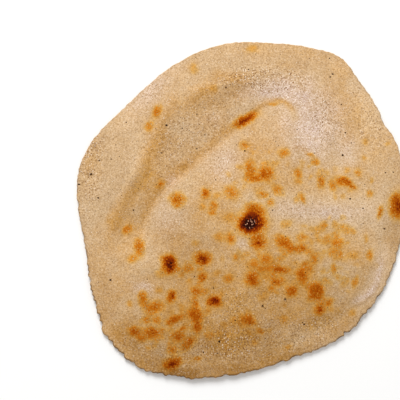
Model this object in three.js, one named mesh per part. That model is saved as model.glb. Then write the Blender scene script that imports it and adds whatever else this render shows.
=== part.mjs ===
// A chapati: one thin round of unleavened flatbread that puffed on the griddle and sank again.
// It lies as it is served, puffed side up. One closed solid, in millimetres, +Z up. The origin is on
// the table, under the middle of the bread's box. Bearings are in degrees, counter-clockwise from +X.

import * as THREE from 'three';

// ---- Driving sizes --------------------------------------------------------------------------

const MEAN_RADIUS = 87.4;
const RIM_THICKNESS = 1.9;
const EDGE_ROUNDING = 1.1; // how far the rounded edge reaches in from the outline
const PUFF_HEIGHT = 9.4; // rise of the sunken puff above the rim
const SHOULDER_REACH = 23; // width of the slope from the rim up to the puff
const SHOULDER_POWER = 1.35;

// Hand-rolled dough isn't round: each lobe pushes the outline out, or pulls it in, around a bearing.
const LOBES = [
  { bearing: 22, push: 3.4, spread: 10 },
  { bearing: 59, push: 9.3, spread: 20 },
  { bearing: 90, push: 2.2, spread: 12 },
  { bearing: 134, push: -4.0, spread: 18 },
  { bearing: 166, push: 2.8, spread: 14 },
  { bearing: 194, push: -1.7, spread: 13 },
  { bearing: 234, push: 13.0, spread: 25 },
  { bearing: 288, push: -2.8, spread: 17 },
];

// Small nicks and bulges that only the edge itself shows.
const NICKS = [
  { bearing: 31, push: -1.0, spread: 3 },
  { bearing: 38, push: 1.5, spread: 8 },
  { bearing: 56, push: 1.9, spread: 6 },
  { bearing: 101, push: 1.1, spread: 9 },
  { bearing: 156, push: 0.8, spread: 7 },
  { bearing: 206, push: 0.4, spread: 4 },
  { bearing: 222, push: 1.7, spread: 6 },
  { bearing: 236, push: 1.4, spread: 6 },
  { bearing: 306, push: 0.5, spread: 7 },
];

// The slope up from the rim is longer or shorter around some bearings.
const SHOULDER_LOBES = [
  { bearing: 45, push: 10, spread: 34 },
  { bearing: 190, push: 3, spread: 30 },
  { bearing: 275, push: -3, spread: 50 },
];
const OUTLINE_FADE_START = 0.25; // inside this share of the radius the puff ignores the lobes

// Where the edge curls up off the table, and how far in from the edge the curl begins.
const CURLS = [
  { bearing: 20, push: 1.0, spread: 26 },
  { bearing: 146, push: 1.7, spread: 32 },
  { bearing: 205, push: 0.7, spread: 14 },
  { bearing: 262, push: 0.9, spread: 26 },
  { bearing: 318, push: 0.5, spread: 14 },
];
const CURL_REACH = 17;
const LEAST_CURL = 0.15;

// The crease where the puff folded down: its middle line from the lower left to the upper right.
const CREASE_PATH = [
  [-59, -31],
  [-54, -13],
  [-49.2, -0.5],
  [-40.4, 11.4],
  [-20.6, 28.6],
  [-5, 41],
  [9, 53],
  [20, 58.5],
  [31, 58],
];
const CREASE_STEPS = 80;
const TROUGH_WIDTH = 15.6; // at its narrow ends
const TROUGH_SWELL = { at: 0.6, spread: 0.2, width: 17.4 }; // and wider around this share of its length
const TROUGH_LEAST_DEPTH = 3.4;
const TROUGH_SLOPE = 0.08; // more depth for each millimetre of width
const TROUGH_FADE_IN = [0, 0.18];
const TROUGH_FADE_OUT = [0.76, 1];
const TROUGH_RAMP_SHARE = 0.72; // the rest of the depth drops within TROUGH_DROP of the lip
const TROUGH_DROP = 0.45;
const TROUGH_REACH_IN = [4, 16]; // it deepens between these distances in from the edge
const PUFF_WALL = 34; // length of the rounded wall on the puff's side of the crease

// Swellings and dips of the sunken skin, as bell-shaped mounds turned by a bearing.
const SWELLS = [
  { about: 'main puff', x: 12, y: -14, along: 44, across: 36, turn: 20, height: 2.8 },
  { about: 'shoulder behind the crease', x: -34, y: 14, along: 26, across: 9, turn: 40, height: 0.6 },
  { about: 'dip behind that shoulder', x: -22, y: -24, along: 26, across: 10, turn: 80, height: -0.9 },
  { about: 'raised flap', x: -60, y: 42, along: 34, across: 12, turn: 52, height: 1.0 },
  { about: 'low ridge toward +X', x: 46, y: 2, along: 24, across: 7, turn: -4, height: 0.6 },
  { about: 'dip below that ridge', x: 40, y: -18, along: 26, across: 8, turn: -6, height: -0.35 },
  { about: 'sag above the lower rim', x: 6, y: -56, along: 34, across: 9, turn: 6, height: -0.6 },
  { about: 'soft swelling at the upper right', x: 33, y: 30, along: 22, across: 16, turn: 40, height: 0.7 },
  { about: 'flat spot at the left', x: -72, y: -36, along: 14, across: 22, turn: 0, height: -0.6 },
];
const SWELL_REACH = 14; // the swellings die out this close to the edge

// The shallow groove that the rolling pin left just inside the lower right rim.
const GROOVE = { inset: 8.5, width: 3.4, depth: 0.5, from: [-88, -58], to: [-10, 10] };

// How finely the surface is divided.
const RINGS = 28;
const SECTORS = 6;
const EDGE_STEPS = 4;
const UNDERSIDE_INSETS = [4.5, 10.5];

// ---- Small helpers --------------------------------------------------------------------------

const toDegrees = (angle) => THREE.MathUtils.radToDeg(angle);
const turnBetween = (bearing, from) => THREE.MathUtils.euclideanModulo(bearing - from + 180, 360) - 180;
const ease = (value, start, end) => THREE.MathUtils.smoothstep(value, start, end);
const bell = (value, spread) => Math.exp(-((value / spread) ** 2));

function sumOfLobes(lobes, bearing) {
  return lobes.reduce(
    (sum, lobe) => sum + lobe.push * bell(turnBetween(bearing, lobe.bearing), lobe.spread),
    0,
  );
}

// ---- Outline --------------------------------------------------------------------------------

const softRadius = (bearing) => MEAN_RADIUS + sumOfLobes(LOBES, bearing);
const edgeRadius = (bearing) => softRadius(bearing) + sumOfLobes(NICKS, bearing);

// ---- Relief of the upper side ---------------------------------------------------------------

const creasePoints = new THREE.CatmullRomCurve3(
  CREASE_PATH.map(([x, y]) => new THREE.Vector3(x, y, 0)),
  false,
  'catmullrom',
  0.5,
).getPoints(CREASE_STEPS);

// Signed distance to the crease, positive on the flap's side, and the share of its length passed.
function placeAlongCrease(x, y) {
  let nearest = { distance: Infinity, side: 1, passed: 0 };
  let passed = 0;
  for (let i = 0; i + 1 < creasePoints.length; i += 1) {
    const start = creasePoints[i];
    const end = creasePoints[i + 1];
    const length = start.distanceTo(end);
    const ux = (end.x - start.x) / length;
    const uy = (end.y - start.y) / length;
    const dx = x - start.x;
    const dy = y - start.y;
    const along = THREE.MathUtils.clamp(dx * ux + dy * uy, 0, length);
    const distance = Math.hypot(dx - along * ux, dy - along * uy);
    if (distance < nearest.distance) {
      nearest = { distance, side: ux * dy - uy * dx >= 0 ? 1 : -1, passed: passed + along };
    }
    passed += length;
  }
  return { offset: nearest.distance * nearest.side, share: nearest.passed / passed };
}

// The trough: a ramp down from the flap to the crease, then the puff's rounded wall.
function troughDepth(x, y, inset) {
  const { offset, share } = placeAlongCrease(x, y);
  const width = TROUGH_WIDTH + TROUGH_SWELL.width * bell(share - TROUGH_SWELL.at, TROUGH_SWELL.spread);
  const deepest = TROUGH_LEAST_DEPTH + TROUGH_SLOPE * width;
  const ends = ease(share, ...TROUGH_FADE_IN) * (1 - ease(share, ...TROUGH_FADE_OUT));
  const held = deepest * ends * ease(inset, ...TROUGH_REACH_IN);
  if (offset < 0) {
    return held * Math.max(0, 1 + offset / PUFF_WALL) ** 2;
  }
  const fromLip = Math.max(0, 1 - offset / width);
  return held * (TROUGH_RAMP_SHARE * fromLip + (1 - TROUGH_RAMP_SHARE) * ease(fromLip, 0, TROUGH_DROP));
}

function swelling(x, y) {
  return SWELLS.reduce((sum, { x: cx, y: cy, along, across, turn, height }) => {
    const angle = THREE.MathUtils.degToRad(turn);
    const a = (x - cx) * Math.cos(angle) + (y - cy) * Math.sin(angle);
    const b = (y - cy) * Math.cos(angle) - (x - cx) * Math.sin(angle);
    return sum + height * bell(a, along) * bell(b, across);
  }, 0);
}

function grooveDepth(bearing, inset) {
  const turn = turnBetween(bearing, 0);
  const share = ease(turn, ...GROOVE.from) * (1 - ease(turn, ...GROOVE.to));
  return GROOVE.depth * share * bell(inset - GROOVE.inset, GROOVE.width);
}

// Height of the skin above the flat rim's top face.
function reliefAt(x, y) {
  const radius = Math.hypot(x, y);
  const bearing = toDegrees(Math.atan2(y, x));
  const soft = softRadius(bearing);
  const follow = ease(radius / soft, OUTLINE_FADE_START, 1);
  const inset = Math.max(0, MEAN_RADIUS + (soft - MEAN_RADIUS) * follow - radius);
  const shoulder = SHOULDER_REACH + sumOfLobes(SHOULDER_LOBES, bearing) * follow;
  const puff = PUFF_HEIGHT * (1 - Math.exp(-((inset / shoulder) ** SHOULDER_POWER)));
  const waves = swelling(x, y) * ease(inset, 0, SWELL_REACH);
  return Math.max(0, puff + waves - troughDepth(x, y, inset) - grooveDepth(bearing, inset));
}

// ---- Underside ------------------------------------------------------------------------------

const curlHeight = (bearing) => LEAST_CURL + sumOfLobes(CURLS, bearing);

function undersideAt(bearing, radius) {
  const inset = edgeRadius(bearing) - radius;
  return curlHeight(bearing) * (1 - ease(inset, 0, CURL_REACH));
}

// ---- Surface --------------------------------------------------------------------------------

// Rings of 6, 12, 18, ... points, so that the triangles stay even from the middle to the edge.
function bearingInRing(ring, step) {
  return (step * 360) / (SECTORS * ring);
}

function pointAt(bearing, radius, height) {
  const angle = THREE.MathUtils.degToRad(bearing);
  return new THREE.Vector3(radius * Math.cos(angle), radius * Math.sin(angle), height);
}

function topRing(ring) {
  const points = [];
  for (let step = 0; step < SECTORS * ring; step += 1) {
    const bearing = bearingInRing(ring, step);
    const radius = ((edgeRadius(bearing) - EDGE_ROUNDING) * ring) / RINGS;
    const flat = pointAt(bearing, radius, 0);
    flat.z = undersideAt(bearing, radius) + RIM_THICKNESS + reliefAt(flat.x, flat.y);
    points.push(flat);
  }
  return points;
}

// A ring on the rounded edge, from its top (share 0) to its bottom (share 1).
function edgeRing(share) {
  const roll = Math.PI * (0.5 - share);
  const points = [];
  for (let step = 0; step < SECTORS * RINGS; step += 1) {
    const bearing = bearingInRing(RINGS, step);
    const radius = edgeRadius(bearing) - EDGE_ROUNDING * (1 - Math.cos(roll));
    const height = undersideAt(bearing, radius) + (RIM_THICKNESS / 2) * (1 + Math.sin(roll));
    points.push(pointAt(bearing, radius, height));
  }
  return points;
}

function undersideRing(inset) {
  const points = [];
  for (let step = 0; step < SECTORS * RINGS; step += 1) {
    const bearing = bearingInRing(RINGS, step);
    const radius = edgeRadius(bearing) - inset;
    points.push(pointAt(bearing, radius, undersideAt(bearing, radius)));
  }
  return points;
}

// Triangles between ring k and ring k + 1 of the top, one sector at a time.
function joinGrowingRings(triangles, innerStart, ring, outerStart) {
  const innerCount = SECTORS * ring;
  const outerCount = SECTORS * (ring + 1);
  const inner = (step) => innerStart + (ring === 0 ? 0 : step % innerCount);
  const outer = (step) => outerStart + (step % outerCount);
  for (let sector = 0; sector < SECTORS; sector += 1) {
    for (let step = 0; step <= ring; step += 1) {
      const i = sector * ring + step;
      const o = sector * (ring + 1) + step;
      triangles.push(inner(i), outer(o), outer(o + 1));
      if (step < ring) {
        triangles.push(inner(i), outer(o + 1), inner(i + 1));
      }
    }
  }
}

// Triangles between two rings with the same number of points, seen from outside.
function joinEqualRings(triangles, upperStart, lowerStart, count) {
  for (let step = 0; step < count; step += 1) {
    const next = (step + 1) % count;
    triangles.push(upperStart + step, lowerStart + step, lowerStart + next);
    triangles.push(upperStart + step, lowerStart + next, upperStart + next);
  }
}

function breadGeometry() {
  const points = [pointAt(0, 0, RIM_THICKNESS + reliefAt(0, 0))];
  const triangles = [];
  let start = 0;
  for (let ring = 0; ring < RINGS; ring += 1) {
    const outerStart = points.length;
    points.push(...topRing(ring + 1));
    joinGrowingRings(triangles, start, ring, outerStart);
    start = outerStart;
  }

  const count = SECTORS * RINGS;
  const lowerRings = [];
  for (let step = 1; step <= EDGE_STEPS; step += 1) {
    lowerRings.push(edgeRing(step / EDGE_STEPS));
  }
  for (const inset of [...UNDERSIDE_INSETS, CURL_REACH]) {
    lowerRings.push(undersideRing(inset));
  }
  for (const ring of lowerRings) {
    points.push(...ring);
    joinEqualRings(triangles, start, start + count, count);
    start += count;
  }

  // The flat middle of the underside, which the bread rests on.
  const middle = points.length;
  points.push(new THREE.Vector3(0, 0, 0));
  for (let step = 0; step < count; step += 1) {
    triangles.push(start + step, middle, start + ((step + 1) % count));
  }

  const geometry = new THREE.BufferGeometry().setFromPoints(points);
  geometry.setIndex(triangles);
  geometry.computeBoundingBox();
  const centre = geometry.boundingBox.getCenter(new THREE.Vector3());
  geometry.translate(-centre.x, -centre.y, 0);
  geometry.computeVertexNormals();
  return geometry;
}

// ---- Finish and part ------------------------------------------------------------------------

function bakedDough() {
  return new THREE.MeshStandardMaterial({ color: 0xd6b083, roughness: 0.85, metalness: 0 });
}

const part = new THREE.Group();
const bread = new THREE.Mesh(breadGeometry(), bakedDough());
bread.name = 'chapati';
part.add(bread);

export default part;
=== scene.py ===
"""A chapati: one thin round of unleavened flatbread, puffed on the griddle and sunk again.

The shape is worked out in millimetres in the bread's own layout, whose middle is where the dough was
rolled from, and is then centred and put into metres. Bearings are in degrees, counter-clockwise from +X.
"""

from __future__ import annotations

import logging
import math
from dataclasses import dataclass, field
from enum import Enum
from typing import NamedTuple

import bpy
import numpy as np
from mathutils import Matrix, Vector

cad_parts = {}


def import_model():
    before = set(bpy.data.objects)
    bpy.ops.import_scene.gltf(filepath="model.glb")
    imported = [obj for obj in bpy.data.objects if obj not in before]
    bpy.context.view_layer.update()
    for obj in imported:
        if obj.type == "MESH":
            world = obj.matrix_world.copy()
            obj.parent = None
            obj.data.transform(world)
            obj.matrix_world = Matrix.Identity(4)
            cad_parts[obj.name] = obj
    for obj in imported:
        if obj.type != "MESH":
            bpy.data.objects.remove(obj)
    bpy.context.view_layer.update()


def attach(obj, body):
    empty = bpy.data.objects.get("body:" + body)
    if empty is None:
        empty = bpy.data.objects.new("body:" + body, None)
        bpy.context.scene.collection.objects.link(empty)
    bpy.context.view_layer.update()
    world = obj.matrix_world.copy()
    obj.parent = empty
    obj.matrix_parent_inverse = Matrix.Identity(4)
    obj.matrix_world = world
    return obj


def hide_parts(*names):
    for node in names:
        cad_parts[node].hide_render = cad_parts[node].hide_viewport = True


LOG = logging.getLogger("chapati")
MM = 0.001
NODE = "chapati"
BODY = "root"

Array = np.ndarray
Socket = bpy.types.NodeSocket
Colour = tuple[float, float, float, float]


# ---- Small formulas ---------------------------------------------------------------------------


def ease(value: Array, start: float, end: float) -> Array:
    """Returns 0 before start, 1 after end, and t * t * (3 - 2 * t) between them."""
    t = np.clip((value - start) / (end - start), 0.0, 1.0)
    return t * t * (3.0 - 2.0 * t)


def bell(value: Array, spread: float | Array) -> Array:
    """Returns exp(-(value / spread)^2)."""
    return np.exp(-((value / spread) ** 2))


def turn_between(bearing: Array, start: float) -> Array:
    """Returns the signed turn from start to bearing, from -180 to 180 degrees."""
    return (bearing - start + 180.0) % 360.0 - 180.0


def srgb(red: float, green: float, blue: float) -> Colour:
    """Turns a screen colour into the linear one that a shader takes.

    Args:
        red: red from 0 to 255.
        green: green from 0 to 255.
        blue: blue from 0 to 255.

    Returns:
        Linear red, green, blue and an alpha of 1.
    """
    channels = [c / 255.0 for c in (red, green, blue)]
    linear = [c / 12.92 if c <= 0.04045 else ((c + 0.055) / 1.055) ** 2.4 for c in channels]
    return (linear[0], linear[1], linear[2], 1.0)


class Grain:
    """Smooth random values on a square lattice, the same each run."""

    LATTICE = 256
    TURN = math.radians(31.0)
    LAYER_SHIFT = (17.0, -29.0)

    def __init__(self, seed: int) -> None:
        """Draws the lattice from the seed."""
        self.values = np.random.default_rng(seed).random((self.LATTICE, self.LATTICE))

    def at(self, x: Array, y: Array, cell: float) -> Array:
        """Blends the four lattice values round each point, with eased weights.

        The lattice is turned, so that it doesn't line up with the bread.

        Args:
            x: places along X, in millimetres.
            y: places along Y, in millimetres.
            cell: the lattice's spacing, in millimetres.

        Returns:
            Values from -1 to 1.
        """
        cos, sin = math.cos(self.TURN), math.sin(self.TURN)
        u = (x * cos + y * sin) / cell
        v = (y * cos - x * sin) / cell
        column, row = np.floor(u).astype(int), np.floor(v).astype(int)
        a, b = ease(u - column, 0.0, 1.0), ease(v - row, 0.0, 1.0)

        def corner(step_u: int, step_v: int) -> Array:
            """Returns the lattice value at one corner of each point's cell."""
            return self.values[(column + step_u) % self.LATTICE, (row + step_v) % self.LATTICE]

        low = corner(0, 0) * (1 - a) + corner(1, 0) * a
        high = corner(0, 1) * (1 - a) + corner(1, 1) * a
        return 2.0 * (low * (1 - b) + high * b) - 1.0

    def layered(self, x: Array, y: Array, cell: float, layers: int = 3) -> Array:
        """Adds up layers of the values, each at half the cell and half the height of the last.

        Args:
            x: places along X, in millimetres.
            y: places along Y, in millimetres.
            cell: the first layer's spacing, in millimetres.
            layers: how many layers there are.

        Returns:
            The sum at each place.
        """
        total = np.zeros_like(x)
        shift_x, shift_y = self.LAYER_SHIFT
        for layer in range(layers):
            share = 0.5**layer
            total += share * self.at(x + shift_x * layer, y + shift_y * layer, cell * share)
        return total


@dataclass(frozen=True)
class Mottle:
    """A layered pattern of the grain, read at its own shift so that no two patterns match."""

    cell: float
    shift_x: float = 0.0
    shift_y: float = 0.0

    def at(self, grain: Grain, x: Array, y: Array) -> Array:
        """Returns the grain's layers at each place."""
        return grain.layered(x + self.shift_x, y + self.shift_y, self.cell)


# ---- The bread's form -------------------------------------------------------------------------


@dataclass(frozen=True)
class Lobe:
    """A push around one bearing: push * bell(turn from the bearing, spread)."""

    bearing: float
    push: float
    spread: float

    def at(self, bearing: Array) -> Array:
        """Returns the push at each bearing."""
        return self.push * bell(turn_between(bearing, self.bearing), self.spread)


@dataclass(frozen=True)
class Mound:
    """A bell-shaped mound or patch, longer along its turned axis than across it."""

    x: float
    y: float
    along: float
    across: float
    turn: float
    height: float
    PLATEAU = (0.5, 1.4)

    @property
    def size(self) -> float:
        """Returns the radius of a round mound that covers as much."""
        return math.sqrt(self.along * self.across)

    def reach(self, x: Array, y: Array) -> Array:
        """Works out the distance from the middle, in units of the mound's own half sizes.

        Args:
            x: places along X.
            y: places along Y.

        Returns:
            The distance, which is 1 on the mound's ellipse.
        """
        cos, sin = math.cos(math.radians(self.turn)), math.sin(math.radians(self.turn))
        a = ((x - self.x) * cos + (y - self.y) * sin) / self.along
        b = ((y - self.y) * cos - (x - self.x) * sin) / self.across
        return np.hypot(a, b)

    def at(self, x: Array, y: Array) -> Array:
        """Returns height * bell(reach, 1)."""
        return self.height * bell(self.reach(x, y), 1.0)

    def plateau(self, x: Array, y: Array) -> Array:
        """Returns the height, held up to the first of the plateau's reaches and gone at the second."""
        return self.height * (1.0 - ease(self.reach(x, y), *self.PLATEAU))


def mounds(*rows: tuple[float, ...]) -> tuple[Mound, ...]:
    """Returns one mound for each row of x, y, along, across, turn and height."""
    return tuple(Mound(*row) for row in rows)


@dataclass(frozen=True)
class Curve:
    """A smooth line over the bread through a few placed points."""

    path: tuple[tuple[float, float], ...]
    steps_per_span: int = 10

    def line(self) -> Array:
        """Runs a uniform Catmull-Rom curve through the path, with its ends mirrored outward.

        Returns:
            Points on the curve, one row each.
        """
        knots = np.array(self.path, float)
        knots = np.vstack([2 * knots[0] - knots[1], knots, 2 * knots[-1] - knots[-2]])
        t = np.linspace(0.0, 1.0, self.steps_per_span, endpoint=False)[None, :, None]
        a, b, c, d = (knots[i : len(knots) - 3 + i, None, :] for i in range(4))
        squared, cubed = 2 * a - 5 * b + 4 * c - d, 3 * b - 3 * c + d - a
        spans = 0.5 * (2 * b + (c - a) * t + squared * t**2 + cubed * t**3)
        return np.vstack([spans.reshape(-1, 2), knots[-2]])

    def place(self, x: Array, y: Array) -> tuple[Array, Array]:
        """Finds the nearest point of the curve for every place.

        Args:
            x: places along X.
            y: places along Y.

        Returns:
            The signed distance, positive to the curve's left, and the share of the curve passed.
        """
        line = self.line()
        starts, steps = line[:-1], np.diff(line, axis=0)
        lengths = np.hypot(steps[:, 0], steps[:, 1])
        passed = np.concatenate([[0.0], np.cumsum(lengths)])
        nearest = np.full(x.shape, np.inf)
        side, along = np.ones_like(x), np.zeros_like(x)
        for start, step, length, before in zip(starts, steps / lengths[:, None], lengths, passed):
            dx, dy = x - start[0], y - start[1]
            run = np.clip(dx * step[0] + dy * step[1], 0.0, length)
            distance = np.hypot(dx - run * step[0], dy - run * step[1])
            closer = distance < nearest
            nearest = np.where(closer, distance, nearest)
            side = np.where(closer, np.where(step[0] * dy - step[1] * dx >= 0, 1.0, -1.0), side)
            along = np.where(closer, before + run, along)
        return nearest * side, along / passed[-1]


@dataclass(frozen=True)
class Crease:
    """The fold where the puff sank: a ramp down from the flap, then the puff's rounded wall."""

    curve: Curve = Curve((
        (-59, -31), (-54, -13), (-49.2, -0.5), (-40.4, 11.4), (-20.6, 28.6), (-5, 41), (9, 53),
        (20, 58.5), (31, 58),
    ))
    width: float = 15.6
    swell: float = 17.4
    swell_at: float = 0.60
    swell_spread: float = 0.20
    least_depth: float = 3.4
    slope: float = 0.08
    fade_in: tuple[float, float] = (0.0, 0.18)
    fade_out: tuple[float, float] = (0.76, 1.0)
    reach_in: tuple[float, float] = (4.0, 16.0)
    ramp_share: float = 0.72
    drop: float = 0.45
    wall: float = 34.0

    def depth(self, offset: Array, share: Array, inset: Array) -> Array:
        """Works out the trough: least_depth + slope * width deep at the crease, fading at both ends.

        Args:
            offset: signed distance to the crease.
            share: share of the crease passed.
            inset: distance in from the bread's edge.

        Returns:
            How far the skin lies below the puff, in millimetres.
        """
        width = self.width + self.swell * bell(share - self.swell_at, self.swell_spread)
        ends = ease(share, *self.fade_in) * (1.0 - ease(share, *self.fade_out))
        held = (self.least_depth + self.slope * width) * ends * ease(inset, *self.reach_in)
        from_lip = np.clip(1.0 - offset / width, 0.0, 1.0)
        ramp = self.ramp_share * from_lip + (1.0 - self.ramp_share) * ease(from_lip, 0.0, self.drop)
        wall = np.clip(1.0 + offset / self.wall, 0.0, 1.0) ** 2
        return held * np.where(offset < 0, wall, ramp)


@dataclass
class BreadForm:
    """Every size of the bread, in millimetres, and the formulas of its skin."""

    mean_radius: float = 87.4
    rim_thickness: float = 1.9
    edge_rounding: float = 1.1
    puff_height: float = 9.4
    shoulder_reach: float = 23.0
    shoulder_power: float = 1.35
    outline_fade_start: float = 0.25
    curl_reach: float = 17.0
    least_curl: float = 0.15
    swell_reach: float = 14.0
    ripple_heights: tuple[float, float, float] = (0.26, 0.10, 0.035)
    ripple_cells: tuple[float, float, float] = (15.0, 5.2, 1.7)
    ripple_shift: tuple[float, float] = (3.0, -5.0)
    ripple_at_edge: float = 0.25
    ripple_insets: tuple[float, float] = (1.0, 12.0)
    crease: Crease = field(default_factory=Crease)
    lobes: tuple[Lobe, ...] = (
        Lobe(22, 3.4, 10), Lobe(59, 9.3, 20), Lobe(90, 2.2, 12), Lobe(134, -4.0, 18),
        Lobe(166, 2.8, 14), Lobe(194, -1.7, 13), Lobe(234, 13.0, 25), Lobe(288, -2.8, 17),
    )
    nicks: tuple[Lobe, ...] = (
        Lobe(31, -1.0, 3), Lobe(38, 1.5, 8), Lobe(56, 1.9, 6), Lobe(101, 1.1, 9), Lobe(156, 0.8, 7),
        Lobe(206, 0.4, 4), Lobe(222, 1.7, 6), Lobe(236, 1.4, 6), Lobe(306, 0.5, 7),
    )
    shoulder_lobes: tuple[Lobe, ...] = (Lobe(45, 10, 34), Lobe(190, 3, 30), Lobe(275, -3, 50))
    curls: tuple[Lobe, ...] = (
        Lobe(20, 1.0, 26), Lobe(146, 1.7, 32), Lobe(205, 0.7, 14), Lobe(262, 0.9, 26), Lobe(318, 0.5, 14),
    )
    swells: tuple[Mound, ...] = mounds(
        (12, -14, 44, 36, 20, 2.8), (-34, 14, 26, 9, 40, 0.6), (-22, -24, 26, 10, 80, -0.9),
        (-60, 42, 34, 12, 52, 1), (46, 2, 24, 7, -4, 0.6), (40, -18, 26, 8, -6, -0.35),
        (6, -56, 34, 9, 6, -0.6), (33, 30, 22, 16, 40, 0.7), (-72, -36, 14, 22, 0, -0.6),
    )
    raggedness: tuple[Lobe, ...] = (Lobe(228, 0.75, 42), Lobe(312, 0.65, 34))
    least_ragged: float = 0.30
    tears: tuple[tuple[float, float, float, float], ...] = (
        (0.45, 7.0, 0.0, 0.0), (0.50, 2.8, 50.0, 0.0), (0.70, 1.4, 0.0, 50.0),
    )
    groove_inset: float = 8.5
    groove_width: float = 3.4
    groove_depth: float = 0.5
    groove_from: tuple[float, float] = (-88.0, -58.0)
    groove_to: tuple[float, float] = (-10.0, 10.0)
    outline_steps: int = 1440
    seed: int = 11

    def __post_init__(self) -> None:
        """Draws the random grain and finds the middle of the outline's box."""
        self.grain = Grain(self.seed)
        bearing = np.linspace(0.0, 360.0, self.outline_steps, endpoint=False)
        angle, radius = np.radians(bearing), self.edge_radius(bearing)
        x, y = radius * np.cos(angle), radius * np.sin(angle)
        self.middle = ((x.min() + x.max()) / 2, (y.min() + y.max()) / 2)

    def soft_radius(self, bearing: Array) -> Array:
        """Returns the mean radius and its lobes."""
        return self.mean_radius + sum(lobe.at(bearing) for lobe in self.lobes)

    def edge_radius(self, bearing: Array) -> Array:
        """Returns the soft radius and its nicks."""
        return self.soft_radius(bearing) + sum(nick.at(bearing) for nick in self.nicks)

    def ragged_radius(self, bearing: Array) -> Array:
        """Works out the edge's radius with the small tears and crumbs of rolled dough.

        Each tear is a height and a cell of the grain, and the shift at which the grain is read.

        Args:
            bearing: bearings round the edge.

        Returns:
            The edge radius and the tears, in millimetres.
        """
        angle = np.radians(bearing)
        radius = self.edge_radius(bearing)
        x, y = radius * np.cos(angle), radius * np.sin(angle)
        torn = sum(height * self.grain.at(x + dx, y + dy, cell) for height, cell, dx, dy in self.tears)
        return radius + self.ragged(bearing) * torn

    def ragged(self, bearing: Array) -> Array:
        """Returns how torn the edge is at each bearing, from least_ragged up to about 1."""
        return self.least_ragged + sum(lobe.at(bearing) for lobe in self.raggedness)

    def inset(self, x: Array, y: Array) -> Array:
        """Works out the distance in from the edge, which nearer the middle ignores the lobes.

        Args:
            x: places along X.
            y: places along Y.

        Returns:
            The distance in millimetres, and 0 past the edge.
        """
        radius, bearing = np.hypot(x, y), np.degrees(np.arctan2(y, x))
        soft = self.soft_radius(bearing)
        follow = ease(radius / soft, self.outline_fade_start, 1.0)
        return np.maximum(self.mean_radius + (soft - self.mean_radius) * follow - radius, 0.0)

    def curl(self, bearing: Array, radius: Array) -> Array:
        """Returns how far the edge is lifted off the table, which is nothing inside the curl's reach."""
        height = self.least_curl + sum(curl.at(bearing) for curl in self.curls)
        return height * (1.0 - ease(self.edge_radius(bearing) - radius, 0.0, self.curl_reach))

    def groove(self, bearing: Array, inset: Array) -> Array:
        """Works out the rolling pin's groove just inside the lower right rim.

        Args:
            bearing: bearings of the places.
            inset: distance in from the bread's edge.

        Returns:
            The groove's depth, in millimetres.
        """
        turn = turn_between(bearing, 0.0)
        share = ease(turn, *self.groove_from) * (1.0 - ease(turn, *self.groove_to))
        return self.groove_depth * share * bell(inset - self.groove_inset, self.groove_width)

    def ripple(self, x: Array, y: Array, inset: Array) -> Array:
        """Works out the skin's small unevenness: three layers of grain, held back at the edge.

        Args:
            x: places along X.
            y: places along Y.
            inset: distance in from the bread's edge.

        Returns:
            Heights, in millimetres.
        """
        total = np.zeros_like(x)
        shift_x, shift_y = self.ripple_shift
        for height, cell in zip(self.ripple_heights, self.ripple_cells):
            total += height * self.grain.at(x + shift_x * cell, y + shift_y * cell, cell)
        inner = (1.0 - self.ripple_at_edge) * ease(inset, *self.ripple_insets)
        return total * (self.ripple_at_edge + inner)

    def relief(self, x: Array, y: Array) -> Array:
        """Works out the skin above the flat rim.

        Puff: puff_height * (1 - exp(-(inset / shoulder)^power)); then the swells, less the trough
        and the groove, and never below the rim; then the ripple.

        Args:
            x: places along X.
            y: places along Y.

        Returns:
            Heights above the rim's top face, in millimetres.
        """
        bearing, radius = np.degrees(np.arctan2(y, x)), np.hypot(x, y)
        inset = self.inset(x, y)
        follow = ease(radius / self.soft_radius(bearing), self.outline_fade_start, 1.0)
        shoulder = self.shoulder_reach + sum(lobe.at(bearing) for lobe in self.shoulder_lobes) * follow
        puff = self.puff_height * (1.0 - np.exp(-((inset / shoulder) ** self.shoulder_power)))
        waves = sum(swell.at(x, y) for swell in self.swells) * ease(inset, 0.0, self.swell_reach)
        offset, share = self.crease.curve.place(x, y)
        sunk = self.crease.depth(offset, share, inset) + self.groove(bearing, inset)
        return np.maximum(puff + waves - sunk, 0.0) + self.ripple(x, y, inset)

    def top(self, x: Array, y: Array) -> Array:
        """Returns the height of the upper skin above the table."""
        bearing, radius = np.degrees(np.arctan2(y, x)), np.hypot(x, y)
        return self.curl(bearing, radius) + self.rim_thickness + self.relief(x, y)


# ---- Toasting ---------------------------------------------------------------------------------


class Browning(Enum):
    """How far a spot is baked, as a share of charring."""

    FAINT = 0.20
    LIGHT = 0.36
    AMBER = 0.46
    TOASTED = 0.54
    BROWN = 0.80
    DEEP = 0.88
    DARK = 0.95
    CHARRED = 1.30


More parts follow.
